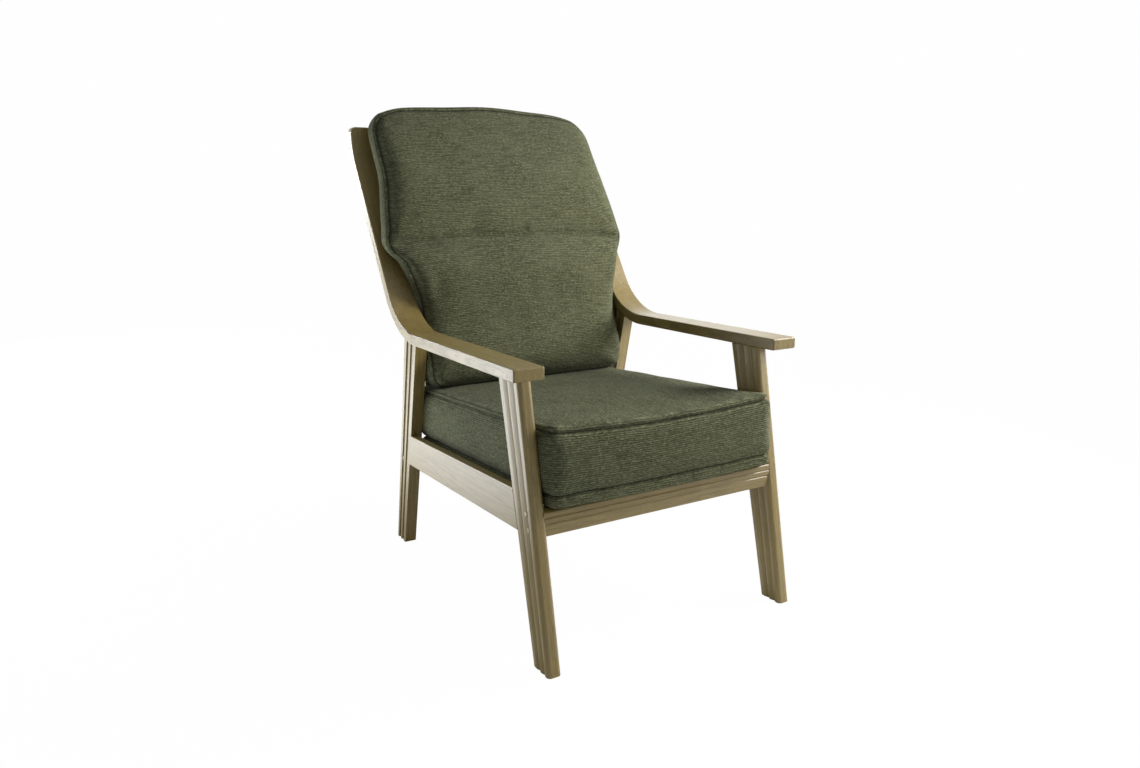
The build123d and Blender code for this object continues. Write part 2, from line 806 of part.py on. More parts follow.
def build_pieces():
    """Every piece by name, still measured from the front feet."""
    places = bolt_places()
    bolts = {name: [bolt(place) for place in group] for name, group in places.items()}
    holes = {name: [bolt_hole(place) for place in group] for name, group in places.items()}
    nut_holes = {name: [nut_hole(place) for place in group] for name, group in places.items()}
    every_place = [place for group in places.values() for place in group]
    slats = [slat((index - (slat_count - 1) / 2) * slat_pitch) for index in range(slat_count)]
    rail_sockets = rail_dowels(dowel_play)
    arm_sockets = arm_dowels(dowel_play)
    grooves = [clip_groove(*place) for place in clip_places()]
    front = front_rail()
    rear = seat_rail()
    low_back = back_rail()
    top = top_rail()
    post = cut_all(arm_post(), [top] + holes["top"] + arm_sockets)
    pieces = {}
    front_leg = leg_body(front_leg_edges, 0)
    front_leg = cut_all(front_leg, [front] + holes["front"] + rail_sockets + arm_sockets)
    rear_leg = leg_body(rear_leg_edges, 1)
    rear_cuts = [rear, low_back] + holes["seat"] + holes["back"]
    rear_leg = cut_all(rear_leg, rear_cuts + rail_sockets + arm_sockets)
    side = cut_all(side_rail(), rail_sockets)
    rights = {"arm_post": post, "front_leg": front_leg, "rear_leg": rear_leg, "side_rail": side}
    for name, body in rights.items():
        pieces["right_" + name] = body
        pieces["left_" + name] = mirror(body, about=Plane.YZ)
    bores = {name: both_sides(holes[name] + nut_holes[name]) for name in places}
    pieces["front_rail"] = cut_all(front, bores["front"] + grooves)
    pieces["rear_seat_rail"] = cut_all(rear, bores["seat"] + grooves)
    pieces["lower_back_rail"] = cut_all(low_back, bores["back"] + slats)
    pieces["top_back_rail"] = cut_all(top, bores["top"] + slats)
    for index, body in enumerate(slats):
        pieces["back_slat_" + str(index + 1)] = body
    for index in range(strap_count):
        middle_x = (index - (strap_count - 1) / 2) * strap_pitch
        pieces["seat_strap_" + str(index + 1)] = strap(middle_x)
    pieces["strap_clips"] = [clip(*place) for place in clip_places()]
    pieces["front_rail_bolts"] = both_sides(bolts["front"])
    pieces["rear_rail_bolts"] = both_sides(bolts["seat"] + bolts["back"])
    pieces["top_rail_bolts"] = both_sides(bolts["top"])
    pieces["barrel_nuts"] = both_sides([nut(place) for place in every_place])
    pieces["bolt_caps"] = both_sides([bolt_cap(place) for place in every_place])
    pieces["side_rail_dowels"] = both_sides(rail_dowels(0))
    pieces["arm_dowels"] = both_sides(arm_dowels(0))
    spot = seat_place()
    pieces["seat_cushion_cover"] = spot * (seat_form() - seat_core() - seat_zip())
    pieces["seat_cushion_core"] = spot * seat_core()
    pieces["seat_cushion_zip"] = spot * seat_zip()
    pieces["back_cushion_cover"] = back_form() - back_core() - back_zip()
    pieces["back_cushion_core"] = back_core()
    pieces["back_cushion_zip"] = back_zip()
    return pieces


def write_pieces(pieces):
    """Move every piece to the shared origin and write it."""
    os.makedirs("parts", exist_ok=True)
    for name, body in pieces.items():
        if isinstance(body, list):
            body = Compound([item.solid() for item in body])
        placed = Location((0, -depth_centre, 0)) * body
        export_step(placed, "parts/" + name + ".step")


write_pieces(build_pieces())
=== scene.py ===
import bpy
from math import atan, cos, exp, pi, radians, sin, sqrt, tanh
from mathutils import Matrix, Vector, noise


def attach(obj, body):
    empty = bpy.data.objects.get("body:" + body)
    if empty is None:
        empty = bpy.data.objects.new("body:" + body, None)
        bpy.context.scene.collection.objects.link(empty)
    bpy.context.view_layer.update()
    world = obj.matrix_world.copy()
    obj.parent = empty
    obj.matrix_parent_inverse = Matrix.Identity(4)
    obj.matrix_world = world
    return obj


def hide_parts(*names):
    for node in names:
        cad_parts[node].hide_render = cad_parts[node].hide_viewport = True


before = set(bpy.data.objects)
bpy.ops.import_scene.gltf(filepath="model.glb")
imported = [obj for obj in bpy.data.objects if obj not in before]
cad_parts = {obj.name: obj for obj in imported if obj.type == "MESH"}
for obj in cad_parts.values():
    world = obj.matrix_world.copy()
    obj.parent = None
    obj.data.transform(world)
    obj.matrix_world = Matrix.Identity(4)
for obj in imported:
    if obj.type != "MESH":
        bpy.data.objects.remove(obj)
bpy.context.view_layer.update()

# Lengths are in metres, except where a comment says millimetres. Depths are measured from
# the front edge of the front feet, and FRONT moves them to the frame's origin, which is
# under the middle of the chair.
MM = 0.001
CHAIR_DEPTH = 1.0045
FRONT = -CHAIR_DEPTH / 2

# The seat falls to the rear as the top edges of the side rails do: depth and height of the
# two ends of such an edge, in millimetres
RAIL_FRONT_END = (120.0, 358.6)
RAIL_REAR_END = (712.0, 323.0)
SLOPE = atan((RAIL_FRONT_END[1] - RAIL_REAR_END[1]) / (RAIL_REAR_END[0] - RAIL_FRONT_END[0]))

# Below this length a vector has no direction
TINY = 1e-9


# Curves and unevenness

def smooth_table(rows, at, column):
    """Value of a column where the first column reads at, on a smooth curve through the rows."""
    if at <= rows[0][0]:
        return rows[0][column]
    if at >= rows[-1][0]:
        return rows[-1][column]
    index = 0
    while rows[index + 1][0] < at:
        index += 1
    before = rows[max(index - 1, 0)]
    low = rows[index]
    high = rows[index + 1]
    after = rows[min(index + 2, len(rows) - 1)]
    span = high[0] - low[0]
    t = (at - low[0]) / span
    slope_low = (high[column] - before[column]) / (high[0] - before[0]) * span
    slope_high = (after[column] - low[column]) / (after[0] - low[0]) * span
    return (
        (2 * t**3 - 3 * t**2 + 1) * low[column]
        + (t**3 - 2 * t**2 + t) * slope_low
        + (3 * t**2 - 2 * t**3) * high[column]
        + (t**3 - t**2) * slope_high
    )


def gauss(distance, width):
    """Bell curve: 1 at no distance, falling off over the width."""
    return exp(-((distance / width) ** 2))


def bump(distance, width):
    """Quarter-round rise from 0 at a seam to 1 at this distance from it."""
    t = min(max(distance / width, 0.0), 1.0)
    return sqrt(1 - (1 - t) ** 2)


def quarter_fall(share):
    """Fall of a quarter round, from 0 at its crest to 1 at its foot."""
    return 1 - sqrt(1 - min(share, 1) ** 2)


def step_up(distance, width):
    """Soft step from 0 to 1, half way up at no distance."""
    return 0.5 + 0.5 * tanh(distance / width)


def ripple(x, y, layer, scale):
    """Smooth unevenness between about -1 and 1, the same in every run."""
    return noise.noise(Vector((x / scale, y / scale, layer / scale)))


# Meshes of box cushions: two panels on grids, joined by boxing

def link(obj):
    bpy.context.scene.collection.objects.link(obj)
    return obj


def rounded_rectangle(width, height, radii, nx, ny):
    """Points round a rounded rectangle, so that the corners of a grid fall on its corners' middles."""
    corners = [(-1, -1), (1, -1), (1, 1), (-1, 1)]
    directions = [(1, 0), (0, 1), (-1, 0), (0, -1)]
    half_corner = pi / 4
    centres = []
    for (side, end), radius in zip(corners, radii):
        centres.append(Vector((side * (width / 2 - radius), end * (height / 2 - radius))))
    points = []
    for number, direction in enumerate(directions):
        following = (number + 1) % 4
        count = nx if number % 2 == 0 else ny
        start, end = centres[number], centres[following]
        first, second = radii[number], radii[following]
        way = Vector(direction)
        out = Vector((way.y, -way.x))
        straight = (end - start).dot(way)
        first_arc = first * half_corner
        total = straight + first_arc + second * half_corner
        for k in range(count):
            distance = total * k / count
            if distance < first_arc:
                angle = half_corner - distance / first
                points.append(start + (out * cos(angle) - way * sin(angle)) * first)
            elif distance < first_arc + straight:
                points.append(start + out * first + way * (distance - first_arc))
            else:
                angle = (distance - first_arc - straight) / second
                points.append(end + (out * cos(angle) + way * sin(angle)) * second)
    return points


def steps_round(points):
    """Distance of each point along a closed loop, and at the end the loop's whole length."""
    steps = [0.0]
    for k in range(len(points)):
        steps.append(steps[-1] + (points[(k + 1) % len(points)] - points[k]).length)
    return steps


def grid_fill(loop, nx, ny):
    """Points of a grid inside a loop, by blending its four sides."""
    rows = []
    bottom = loop[0:nx + 1]
    right = loop[nx:nx + ny + 1]
    top = [loop[(nx + ny + k) % len(loop)] for k in range(nx + 1)][::-1]
    left = [loop[(2 * nx + ny + k) % len(loop)] for k in range(ny + 1)][::-1]
    for j in range(ny + 1):
        v = j / ny
        row = []
        for i in range(nx + 1):
            u = i / nx
            point = (
                (1 - v) * bottom[i] + v * top[i] + (1 - u) * left[j] + u * right[j]
                - (1 - u) * (1 - v) * bottom[0] - u * (1 - v) * bottom[nx]
                - (1 - u) * v * top[0] - u * v * top[nx]
            )
            row.append(point)
        rows.append(row)
    return rows


class Shell:
    """Cushion mesh under way: vertices, faces, cloth coordinates, seams with their painted shade, and held
    vertices.
    """

    def __init__(self):
        self.verts = []
        self.faces = []
        self.uvs = []
        self.seam = {}
        self.held = set()

    def add_loop(self, points):
        first = len(self.verts)
        self.verts.extend(points)
        return list(range(first, first + len(points)))

    def add_face(self, quad, corners, flip):
        if flip:
            quad.reverse()
            corners.reverse()
        self.faces.append(quad)
        self.uvs.append(corners)

    def sew(self, vertices, shade):
        """Make vertices a seam, which the simulation holds and where the cloth is painted this dark, as
        painted shade for the shadow in the seam's groove.
        """
        self.seam.update(dict.fromkeys(vertices, shade))

    def bridge(self, lower, upper, low_v, high_v, steps, flip):
        """Faces between two loops; cloth coordinates run round the loop and across the strip."""
        count = len(lower)
        for k in range(count):
            after = (k + 1) % count
            u, next_u = steps[k], steps[k + 1]
            quad = [lower[k], lower[after], upper[after], upper[k]]
            corners = [(u, low_v), (next_u, low_v), (next_u, high_v), (u, high_v)]
            self.add_face(quad, corners, flip)

    def panel(self, loop, points, nx, ny, coordinates, flip):
        """Faces of a grid inside a loop that is already there; the vertices by row and column."""
        index = [[None] * (nx + 1) for _ in range(ny + 1)]
        count = len(loop)
        for i in range(nx + 1):
            index[0][i] = loop[i]
            index[ny][nx - i] = loop[(nx + ny + i) % count]
        for j in range(ny + 1):
            index[j][nx] = loop[nx + j]
            index[ny - j][0] = loop[(2 * nx + ny + j) % count]
        for j in range(1, ny):
            for i in range(1, nx):
                index[j][i] = len(self.verts)
                self.verts.append(points[j][i])
        for j in range(ny):
            for i in range(nx):
                cell = [(i, j), (i + 1, j), (i + 1, j + 1), (i, j + 1)]
                quad = [index[row][column] for column, row in cell]
                corners = [coordinates(column, row) for column, row in cell]
                self.add_face(quad, corners, flip)
        return index

    def build(self, name):
        mesh = bpy.data.meshes.new(name)
        mesh.from_pydata([tuple(v) for v in self.verts], [], self.faces)
        layer = mesh.uv_layers.new(name="cloth")
        flat = [corner for corners in self.uvs for corner in corners]
        for loop, corner in zip(layer.data, flat):
            loop.uv = corner
        mesh.update()
        obj = link(bpy.data.objects.new(name, mesh))
        group = obj.vertex_groups.new(name="seam")
        group.add(sorted(self.held.union(self.seam)), 1.0, "REPLACE")
        # Painted shade at each vertex: how dark the cloth is painted along the seams and the crease, for
        # the shadow in their grooves
        shade = mesh.attributes.new("painted_seam_shade", "FLOAT", "POINT")
        for vertex, depth in self.seam.items():
            shade.data[vertex].value = depth
        return obj


# Simulation of the covers: its length in frames, pressure and stiffness, and how far a
# vertex of each cushion moves at most
FILL_FRAMES = 20
FILL_PRESSURE = 4.0
FILL_STIFFNESS = 12.0
SEAT_MOVE = 0.004
BACK_MOVE = 0.005


def swell(obj, limit):
    """Cloth simulation that swells the panels between their seams, with a soft limit on movement."""
    before = [v.co.copy() for v in obj.data.vertices]
    cloth = obj.modifiers.new("fill", "CLOTH")
    settings = cloth.settings
    settings.quality = 6
    settings.mass = 0.3
    settings.use_pressure = True
    settings.uniform_pressure_force = FILL_PRESSURE
    settings.tension_stiffness = FILL_STIFFNESS
    settings.compression_stiffness = FILL_STIFFNESS
    settings.shear_stiffness = FILL_STIFFNESS / 3
    settings.bending_stiffness = 0.6
    settings.vertex_group_mass = "seam"
    settings.pin_stiffness = 1.0
    settings.effector_weights.gravity = 0
    cloth.collision_settings.use_collision = False
    cloth.collision_settings.use_self_collision = False
    cloth.point_cache.frame_start = 1
    cloth.point_cache.frame_end = FILL_FRAMES
    scene = bpy.context.scene
    for number in range(1, FILL_FRAMES + 1):
        scene.frame_set(number)
    graph = bpy.context.evaluated_depsgraph_get()
    moved = [v.co.copy() for v in obj.evaluated_get(graph).data.vertices]
    obj.modifiers.remove(cloth)
    scene.frame_set(1)
    for vertex, start, end in zip(obj.data.vertices, before, moved):
        step = end - start
        length = step.length
        if length > TINY:
            step *= limit * tanh(length / limit) / length
        vertex.co = start + step
    obj.data.update()


def soften(obj):
    """One subdivision and smooth shading."""
    modifier = obj.modifiers.new("fine", "SUBSURF")
    modifier.levels = 1
    modifier.render_levels = 1
    bpy.ops.object.select_all(action="DESELECT")
    obj.select_set(True)
    bpy.context.view_layer.objects.active = obj
    bpy.ops.object.modifier_apply(modifier=modifier.name)
    for polygon in obj.data.polygons:
        polygon.use_smooth = True
    obj.vertex_groups.clear()


# Seat cushion in its own frame: across, along the seat from its front, and up from its
# underside. The corners' radii start at the front left and go on to the front right, and
# the top panel's edge lies this much over the upper seam.
SEAT_HALF = 0.2895
SEAT_LENGTH = 0.708
SEAT_CORNERS = (0.016, 0.016, 0.014, 0.014)
SEAT_NX = 62
SEAT_NY = 76
SEAT_LOW_SEAM = 0.025
SEAT_HIGH_SEAM = 0.151
SEAT_TOP_RISE = 0.0112
# Depth and height of its front edge in the chair
SEAT_FRONT = 0.0405
SEAT_LIFT = 0.3332

# Its rings as height and inset: round the underside over the straps, the lower seam and its
# lips counted from that seam, the upper seam and the round of the top counted from that one
SEAT_UNDER = [(0.0, 0.0085), (0.0012, 0.0045), (0.0045, 0.0016), (0.010, 0.0004), (0.017, 0.0006)]
SEAT_LOW_LIPS = [(-0.0026, 0.0014), (0.0, 0.0095), (0.0026, 0.0018)]
SEAT_HIGH_LIPS = [(-0.0028, 0.0010), (0.0, 0.0100), (0.0026, 0.0022)]
SEAT_OVER = [(0.0052, 0.0012), (0.0080, 0.0030), (0.0098, 0.0075), (0.0108, 0.0150)]

# Its boxing between the seams: strips, inset at the seams, puff and the reach of its round
SEAT_STRIPS = 13
SEAT_BOXING_INSET = 0.0015
SEAT_BOXING_PUFF = 0.0040
SEAT_BOXING_ROUND = 0.045

# How the seams rise and fall, and how much they wander
SEAM_REAR_FALL = 0.008
FRONT_DIP = 0.008
FRONT_DIP_SIDES = 0.011
FRONT_DIP_REACH = 0.12
FRONT_SAG = 0.0035
FRONT_CORNER_RISE = 0.0060
FRONT_SAG_REACH = 0.045
SEAT_WANDER = 0.0012
# Layer and scale of the ripples of the upper seam, the lower seam and the top panel
UPPER_SEAM_RIPPLE = (0.0, 0.09)
LOWER_SEAM_RIPPLE = (3.0, 0.08)
TOP_PANEL_RIPPLE = (5.0, 0.11)

# The crown of its top panel, and how the back cushion presses it in behind this depth
SEAT_CROWN = 0.004
PRESSED_FROM = 0.610
PRESSED_EASE = 0.018
PRESSED_DEPTH = 0.0020

# The straps under it: depth and height of a point on their tops, the gap over them, how far
# the outer ones reach to the side and how far the underside hangs lower beside them
STRAP_FRONT = 0.0725
STRAP_TOP = 0.331
STRAP_GAP = 0.0004
STRAPS_HALF = 0.243
BESIDE_DROP = 0.0021
BESIDE_EASE = 0.004
# The front edge overhangs the front rail from this depth on, and may hang this much lower
OVERHANG_FROM = 0.062
OVERHANG_DROP = 0.008
OVERHANG_EASE = 0.012

# Cloth coordinates of its panels as a share of real lengths, so that the yarn shows larger
PANEL_YARN = 0.7


def seat_to_chair(point):
    """From the cushion's own frame to the chair's."""
    x, along, up = point
    return Vector((
        x,
        SEAT_FRONT + FRONT + along * cos(SLOPE) + up * sin(SLOPE),
        SEAT_LIFT - along * sin(SLOPE) + up * cos(SLOPE),
    ))


def seat_ring(outline, inset, height, lift):
    """Outline drawn in by inset, at a height that lift(x, along) changes."""
    points = []
    for flat in outline:
        x = flat.x * (1 - inset / SEAT_HALF)
        y = flat.y * (1 - inset / (SEAT_LENGTH / 2))
        along = y + SEAT_LENGTH / 2
        points.append(Vector((x, along, height + lift(x, along))))
    return points


def upper_seam_lift(x, along):
    """The upper seam falls towards the rear, dips in the middle of its front and wanders."""
    side = (x / SEAT_HALF) ** 2
    fall = -SEAM_REAR_FALL * along / SEAT_LENGTH
    dip = gauss(along, FRONT_DIP_REACH) * (FRONT_DIP - FRONT_DIP_SIDES * side)
    return fall - dip + SEAT_WANDER * ripple(x, along, *UPPER_SEAM_RIPPLE)


def beside_straps(x):
    """How far the underside hangs lower beside the outer straps."""
    return BESIDE_DROP * step_up(abs(x) - STRAPS_HALF, BESIDE_EASE)


def front_sag(x, along):
    """The overhanging front edge sags in its middle and rises at its corners."""
    side = (abs(x) / SEAT_HALF) ** 3
    sag = gauss(along, FRONT_SAG_REACH) * (FRONT_CORNER_RISE * side - FRONT_SAG)
    return sag - beside_straps(x)


def lower_seam_lift(x, along):
    return front_sag(x, along) + SEAT_WANDER * ripple(x, along, *LOWER_SEAM_RIPPLE)


def seat_crown(x, along):
    """Rise of the top panel over its seam away from the edges, pressed in under the back cushion."""
    across = 1 - (abs(x) / SEAT_HALF) ** 3
    length = 1 - (abs(along / SEAT_LENGTH * 2 - 1)) ** 3
    pressed = step_up(along - PRESSED_FROM, PRESSED_EASE)
    rise = SEAT_CROWN * max(across, 0) * max(length, 0) * (1 - pressed)
    return rise - PRESSED_DEPTH * pressed + SEAT_WANDER * ripple(x, along, *TOP_PANEL_RIPPLE)


def seat_levels():
    """Rings from the underside to the top: height, inset, lift and whether it is a seam."""
    low, high = SEAT_LOW_SEAM, SEAT_HIGH_SEAM
    levels = []
    for height, inset in SEAT_UNDER:
        levels.append((height, inset, front_sag, False))
    for rise, inset in SEAT_LOW_LIPS:
        levels.append((low + rise, inset, lower_seam_lift, rise == 0.0))
    for k in range(1, SEAT_STRIPS):
        share = k / SEAT_STRIPS
        from_seam = min(share, 1 - share) * (high - low)
        inset = SEAT_BOXING_INSET - SEAT_BOXING_PUFF * bump(from_seam, SEAT_BOXING_ROUND)

        def lift(x, along, share=share):
            return lower_seam_lift(x, along) * (1 - share) + upper_seam_lift(x, along) * share

        levels.append((low + (high - low) * share, inset, lift, False))
    for rise, inset in SEAT_HIGH_LIPS + SEAT_OVER:
        levels.append((high + rise, inset, upper_seam_lift, rise == 0.0))
    return levels


def make_seat_cushion():
    nx, ny = SEAT_NX, SEAT_NY
    outline = rounded_rectangle(2 * SEAT_HALF, SEAT_LENGTH, SEAT_CORNERS, nx, ny)
    steps = steps_round(outline)
    shell = Shell()
    levels = seat_levels()
    loops = []
    for number, (height, inset, lift, is_seam) in enumerate(levels):
        loop = shell.add_loop(seat_ring(outline, inset, height, lift))
        if is_seam:
            # Full painted shade along this seam
            shell.sew(loop, 1.0)
        if number < len(SEAT_UNDER):
            shell.held.update(loop)
        loops.append(loop)
    for k in range(len(loops) - 1):
        shell.bridge(loops[k], loops[k + 1], levels[k][0], levels[k + 1][0], steps, False)

    def coordinates(i, j):
        return (PANEL_YARN * SEAT_LENGTH * j / ny, 2 * PANEL_YARN * SEAT_HALF * i / nx)

    top_points = grid_fill([shell.verts[v] for v in loops[-1]], nx, ny)
    for row in top_points:
        for point in row:
            seam = SEAT_HIGH_SEAM + SEAT_TOP_RISE + upper_seam_lift(point.x, point.y)
            point.z = seam + seat_crown(point.x, point.y)
    shell.panel(loops[-1], top_points, nx, ny, coordinates, False)
    bottom_points = grid_fill([shell.verts[v] for v in loops[0]], nx, ny)
    first = len(shell.verts)
    shell.panel(loops[0], bottom_points, nx, ny, coordinates, True)
    shell.held.update(range(first, len(shell.verts)))
    obj = shell.build("seat_cushion")
    for vertex in obj.data.vertices:
        vertex.co = seat_to_chair(vertex.co)
    obj.data.update()
    swell(obj, SEAT_MOVE)
    rest_on_straps(obj)
    soften(obj)
    return obj


def strap_height(depth):
    """Top of the seat straps at a depth in the frame."""
    return STRAP_TOP - (depth - FRONT - STRAP_FRONT) * sin(SLOPE) / cos(SLOPE)


def rest_on_straps(obj):
    """Flatten the underside on the straps."""
    for vertex in obj.data.vertices:
        ahead = FRONT + OVERHANG_FROM - vertex.co.y
        lowest = strap_height(vertex.co.y) + STRAP_GAP - beside_straps(vertex.co.x)
        lowest -= OVERHANG_DROP * min(max(ahead / OVERHANG_EASE, 0.0), 1.0)
        if vertex.co.z < lowest:
            vertex.co.z = lowest
    obj.data.update()


# Back cushion, in millimetres. One row a level: height, half width and depth of the front
# seam, swell of the front panel, half width and depth of the rear seam, swell of the rear
# panel
BACK_LINE = [
    (456.0, 281.5, 671.0, 18.0, 281.5, 743.0, 5.0),
    (477.0, 283.5, 661.0, 24.0, 283.5, 753.0, 6.0),
    (516.0, 285.0, 660.0, 26.0, 285.0, 755.0, 6.0),
    (570.0, 286.0, 681.0, 26.0, 286.0, 755.0, 6.0),
    (624.0, 287.0, 700.0, 26.0, 287.0, 755.0, 6.0),
    (679.0, 290.0, 709.0, 28.0, 289.0, 752.0, 9.0),
    (715.0, 299.0, 717.0, 32.0, 298.0, 747.0, 24.0),
    (745.0, 308.0, 723.0, 32.0, 307.0, 763.0, 20.0),
    (778.0, 321.0, 735.0, 28.0, 320.0, 781.0, 21.0),
    (800.0, 341.0, 756.0, 26.0, 340.0, 797.0, 20.0),
    (823.0, 347.0, 762.0, 26.0, 346.0, 811.0, 22.0),
    (845.0, 343.0, 768.0, 26.0, 342.0, 819.0, 28.0),
    (900.0, 336.0, 791.0, 27.0, 335.0, 841.0, 42.0),
    (975.0, 325.0, 826.0, 27.0, 324.0, 876.0, 56.0),
    (1037.0, 323.0, 867.0, 27.0, 322.0, 917.0, 52.0),
    (1087.0, 322.0, 900.0, 25.0, 321.0, 949.0, 22.0),
    (1110.0, 318.0, 914.0, 23.0, 317.0, 962.0, 10.0),
    (1160.0, 302.0, 944.0, 18.0, 301.0, 972.0, 5.0),
]
HALF_FRONT, SEAM_FRONT, SWELL_FRONT, HALF_REAR, SEAM_REAR, SWELL_REAR = range(1, 7)
# Height of its top seam across it
BACK_CROWN = [
    (-320.0, 1124.0), (-299.0, 1132.0), (-271.0, 1145.0), (-234.0, 1154.0), (-170.0, 1158.0),
    (-104.0, 1160.5), (0.0, 1167.0), (60.0, 1166.0), (140.0, 1160.0), (190.0, 1157.5), (225.0, 1155.0),
    (272.0, 1146.0), (300.0, 1134.0), (320.0, 1120.0),
]
BACK_LOW = 455.0
BACK_TOP = 1157.0
BACK_NX = 66
BACK_NY = 84
# Radii of the lower and the upper corners of its two panels, and the share of a radius at
# which the middle of a corner lies
FRONT_CORNERS = (42.0, 62.0)
REAR_CORNERS = (36.0, 60.0)
CORNER_MIDDLE = 0.29

# Sewn crease across its front: height in the middle, fall to the sides and the half width
# that the fall is counted over
CREASE_HEIGHT = 829.0
CREASE_FALL = 15.0
CREASE_HALF = 345.0
# Depth, layer and scale of the ripples that it wanders by
CREASE_RIPPLES = [(3.0, 7.0, 130.0), (1.2, 9.0, 40.0)]
# Shares by which the crease draws the swell in, each with the reach that it fades over, and
# how much more it draws at the sides
CREASE_DRAWS = [(0.42, 6.5), (0.26, 20.0), (0.14, 55.0)]
CREASE_SIDE_DRAW = 0.25
# How dark the cloth is painted along it, as painted shade for the shadow in the crease, and in metres how
# far it draws the grid's rows along
CREASE_PAINTED_SHADE = 0.45
CREASE_PULL = 0.030

# Puckers above and below the crease: depth, their middle over the crease, reach, the strip
# along the crease without them, and layer and scale of their ripples
PUCKER_DEPTH = 4.2
PUCKER_MIDDLE = 6.0
PUCKER_REACH = 34.0
PUCKER_GAP = 7.0
PUCKER_COARSE_RIPPLE = (11.0, 26.0)
PUCKER_FINE_RIPPLE = (21.0, 13.0)
# Hanging fold over the crease: depth, height over the crease, width, how far it wanders, and
# layer and scale of the ripples of its line and its depth
HANG_DEPTH = 2.4
HANG_HEIGHT = 95.0
HANG_WIDTH = 34.0
HANG_WANDER = 26.0
HANG_LINE_RIPPLE = (31.0, 150.0)
HANG_DEPTH_RIPPLE = (37.0, 210.0)
# Slack of the front panel: depth, layer and scale of each of its ripples
SLACK = [(2.0, 13.0, 110.0), (0.9, 17.0, 42.0), (0.35, 19.0, 18.0)]

# The panels' swell starts at their seams: the reach of each round, the share of the distance
# counted at the lower and the upper edge, and how steeply the rear panel gains it from the sides
FRONT_ROUND = 34.0
FOLDS_ROUND = 55.0
REAR_ROUND = 60.0
LOW_EDGE_SHARE = 1.1
TOP_EDGE_SHARE = 1.2
REAR_SIDE_GAIN = 1.6

# Boxing, in metres: shares of the way from the front to the rear seam, puff between the
# seams and its reach as a share, and the lip beside each seam
BOXING_SHARES = [0.0, 0.05, 0.16, 0.32, 0.5, 0.68, 0.84, 0.95, 1.0]
BOXING_PUFF = 0.0055
BOXING_ROUND = 0.30
BOXING_LIP = 0.0026
# Cloth coordinates: width and height of the panels, and width of the boxing
PANEL_CLOTH_WIDTH = 0.63
PANEL_CLOTH_HEIGHT = 0.80
BOXING_CLOTH_WIDTH = 0.048

# Back slats, in millimetres: depth of their middles below the bend, half thickness, radius
# of the bend, heights where the bend, the lean and the steeper top start
SLAT_DEPTH = 768.0
SLAT_HALF_THICK = 5.0
SLAT_BEND = 250.0
SLAT_BEND_Z = 637.0
SLAT_LEAN_Z = 774.0
SLAT_TOP_Z = 1007.0
# Depth of the lean at a height of 0 and of the top where it starts, each with what it gains
# for every millimetre of height
SLAT_LEAN_DEPTH = 289.0
SLAT_LEAN_SLOPE = 0.664
SLAT_TOP_DEPTH = 957.6
SLAT_TOP_SLOPE = 0.40
SLAT_GAP = 1.2


def back_outline(half_column, corner_low, corner_top):
    """Seam loop of one panel, from its bottom left corner, as (x, height) in millimetres."""
    nx, ny = BACK_NX, BACK_NY

    def side_x(z):
        half = smooth_table(BACK_LINE, z, half_column)
        if z < BACK_LOW + corner_low:
            half -= corner_low * quarter_fall((BACK_LOW + corner_low - z) / corner_low)
        if z > BACK_TOP - corner_top:
            half -= corner_top * quarter_fall((z - BACK_TOP + corner_top) / corner_top)
        return half

    low_z = BACK_LOW + corner_low * CORNER_MIDDLE
    high_z = BACK_TOP - corner_top * CORNER_MIDDLE
    low_x = side_x(low_z)
    high_x = side_x(high_z)
    flat_half = smooth_table(BACK_LINE, BACK_LOW, half_column) - corner_low
    points = []
    for k in range(nx):
        x = -low_x + 2 * low_x * k / nx
        reach = max(abs(x) - flat_half, 0) / corner_low
        points.append((x, BACK_LOW + corner_low * quarter_fall(reach)))
    for k in range(ny):
        z = low_z + (high_z - low_z) * k / ny
        points.append((side_x(z), z))
    points.append((high_x, high_z))
    for k in range(1, nx):
        x = high_x - 2 * high_x * k / nx
        points.append((x, smooth_table(BACK_CROWN, x, 1)))
    for k in range(ny):
        z = high_z - (high_z - low_z) * k / ny
        points.append((-side_x(z), z))
    return points


def crease_height(x):
    """Height of the sewn crease across the back cushion, in millimetres."""
    height = CREASE_HEIGHT - CREASE_FALL * (abs(x) / CREASE_HALF) ** 4
    for depth, layer, scale in CREASE_RIPPLES:
        height += depth * ripple(x, 0.0, layer, scale)
    return height


def edge_distance(x, z, half):
    """Distance of a point on a panel from its seam, in millimetres, as the swell counts it."""
    from_low = (z - BACK_LOW) * LOW_EDGE_SHARE
    from_top = (smooth_table(BACK_CROWN, x, 1) - z) * TOP_EDGE_SHARE
    return max(min(half - abs(x), from_low, from_top), 0.0)


def crease_puckers(x, away):
    """Small folds above and below the crease."""
    strength = gauss(away - PUCKER_MIDDLE, PUCKER_REACH) * (1 - gauss(away, PUCKER_GAP))
    coarse = ripple(x, 0.35 * away, *PUCKER_COARSE_RIPPLE)
    fine = ripple(x, 0.5 * away, *PUCKER_FINE_RIPPLE)
    return strength * (coarse + 0.5 * fine) * PUCKER_DEPTH


def hanging_fold(x, away):
    """Soft fold of the slack cloth over the crease."""
    wander = HANG_WANDER * ripple(x, 0.0, *HANG_LINE_RIPPLE)
    strength = gauss(away - HANG_HEIGHT - wander, HANG_WIDTH)
    return HANG_DEPTH * strength * ripple(x, 0.0, *HANG_DEPTH_RIPPLE)


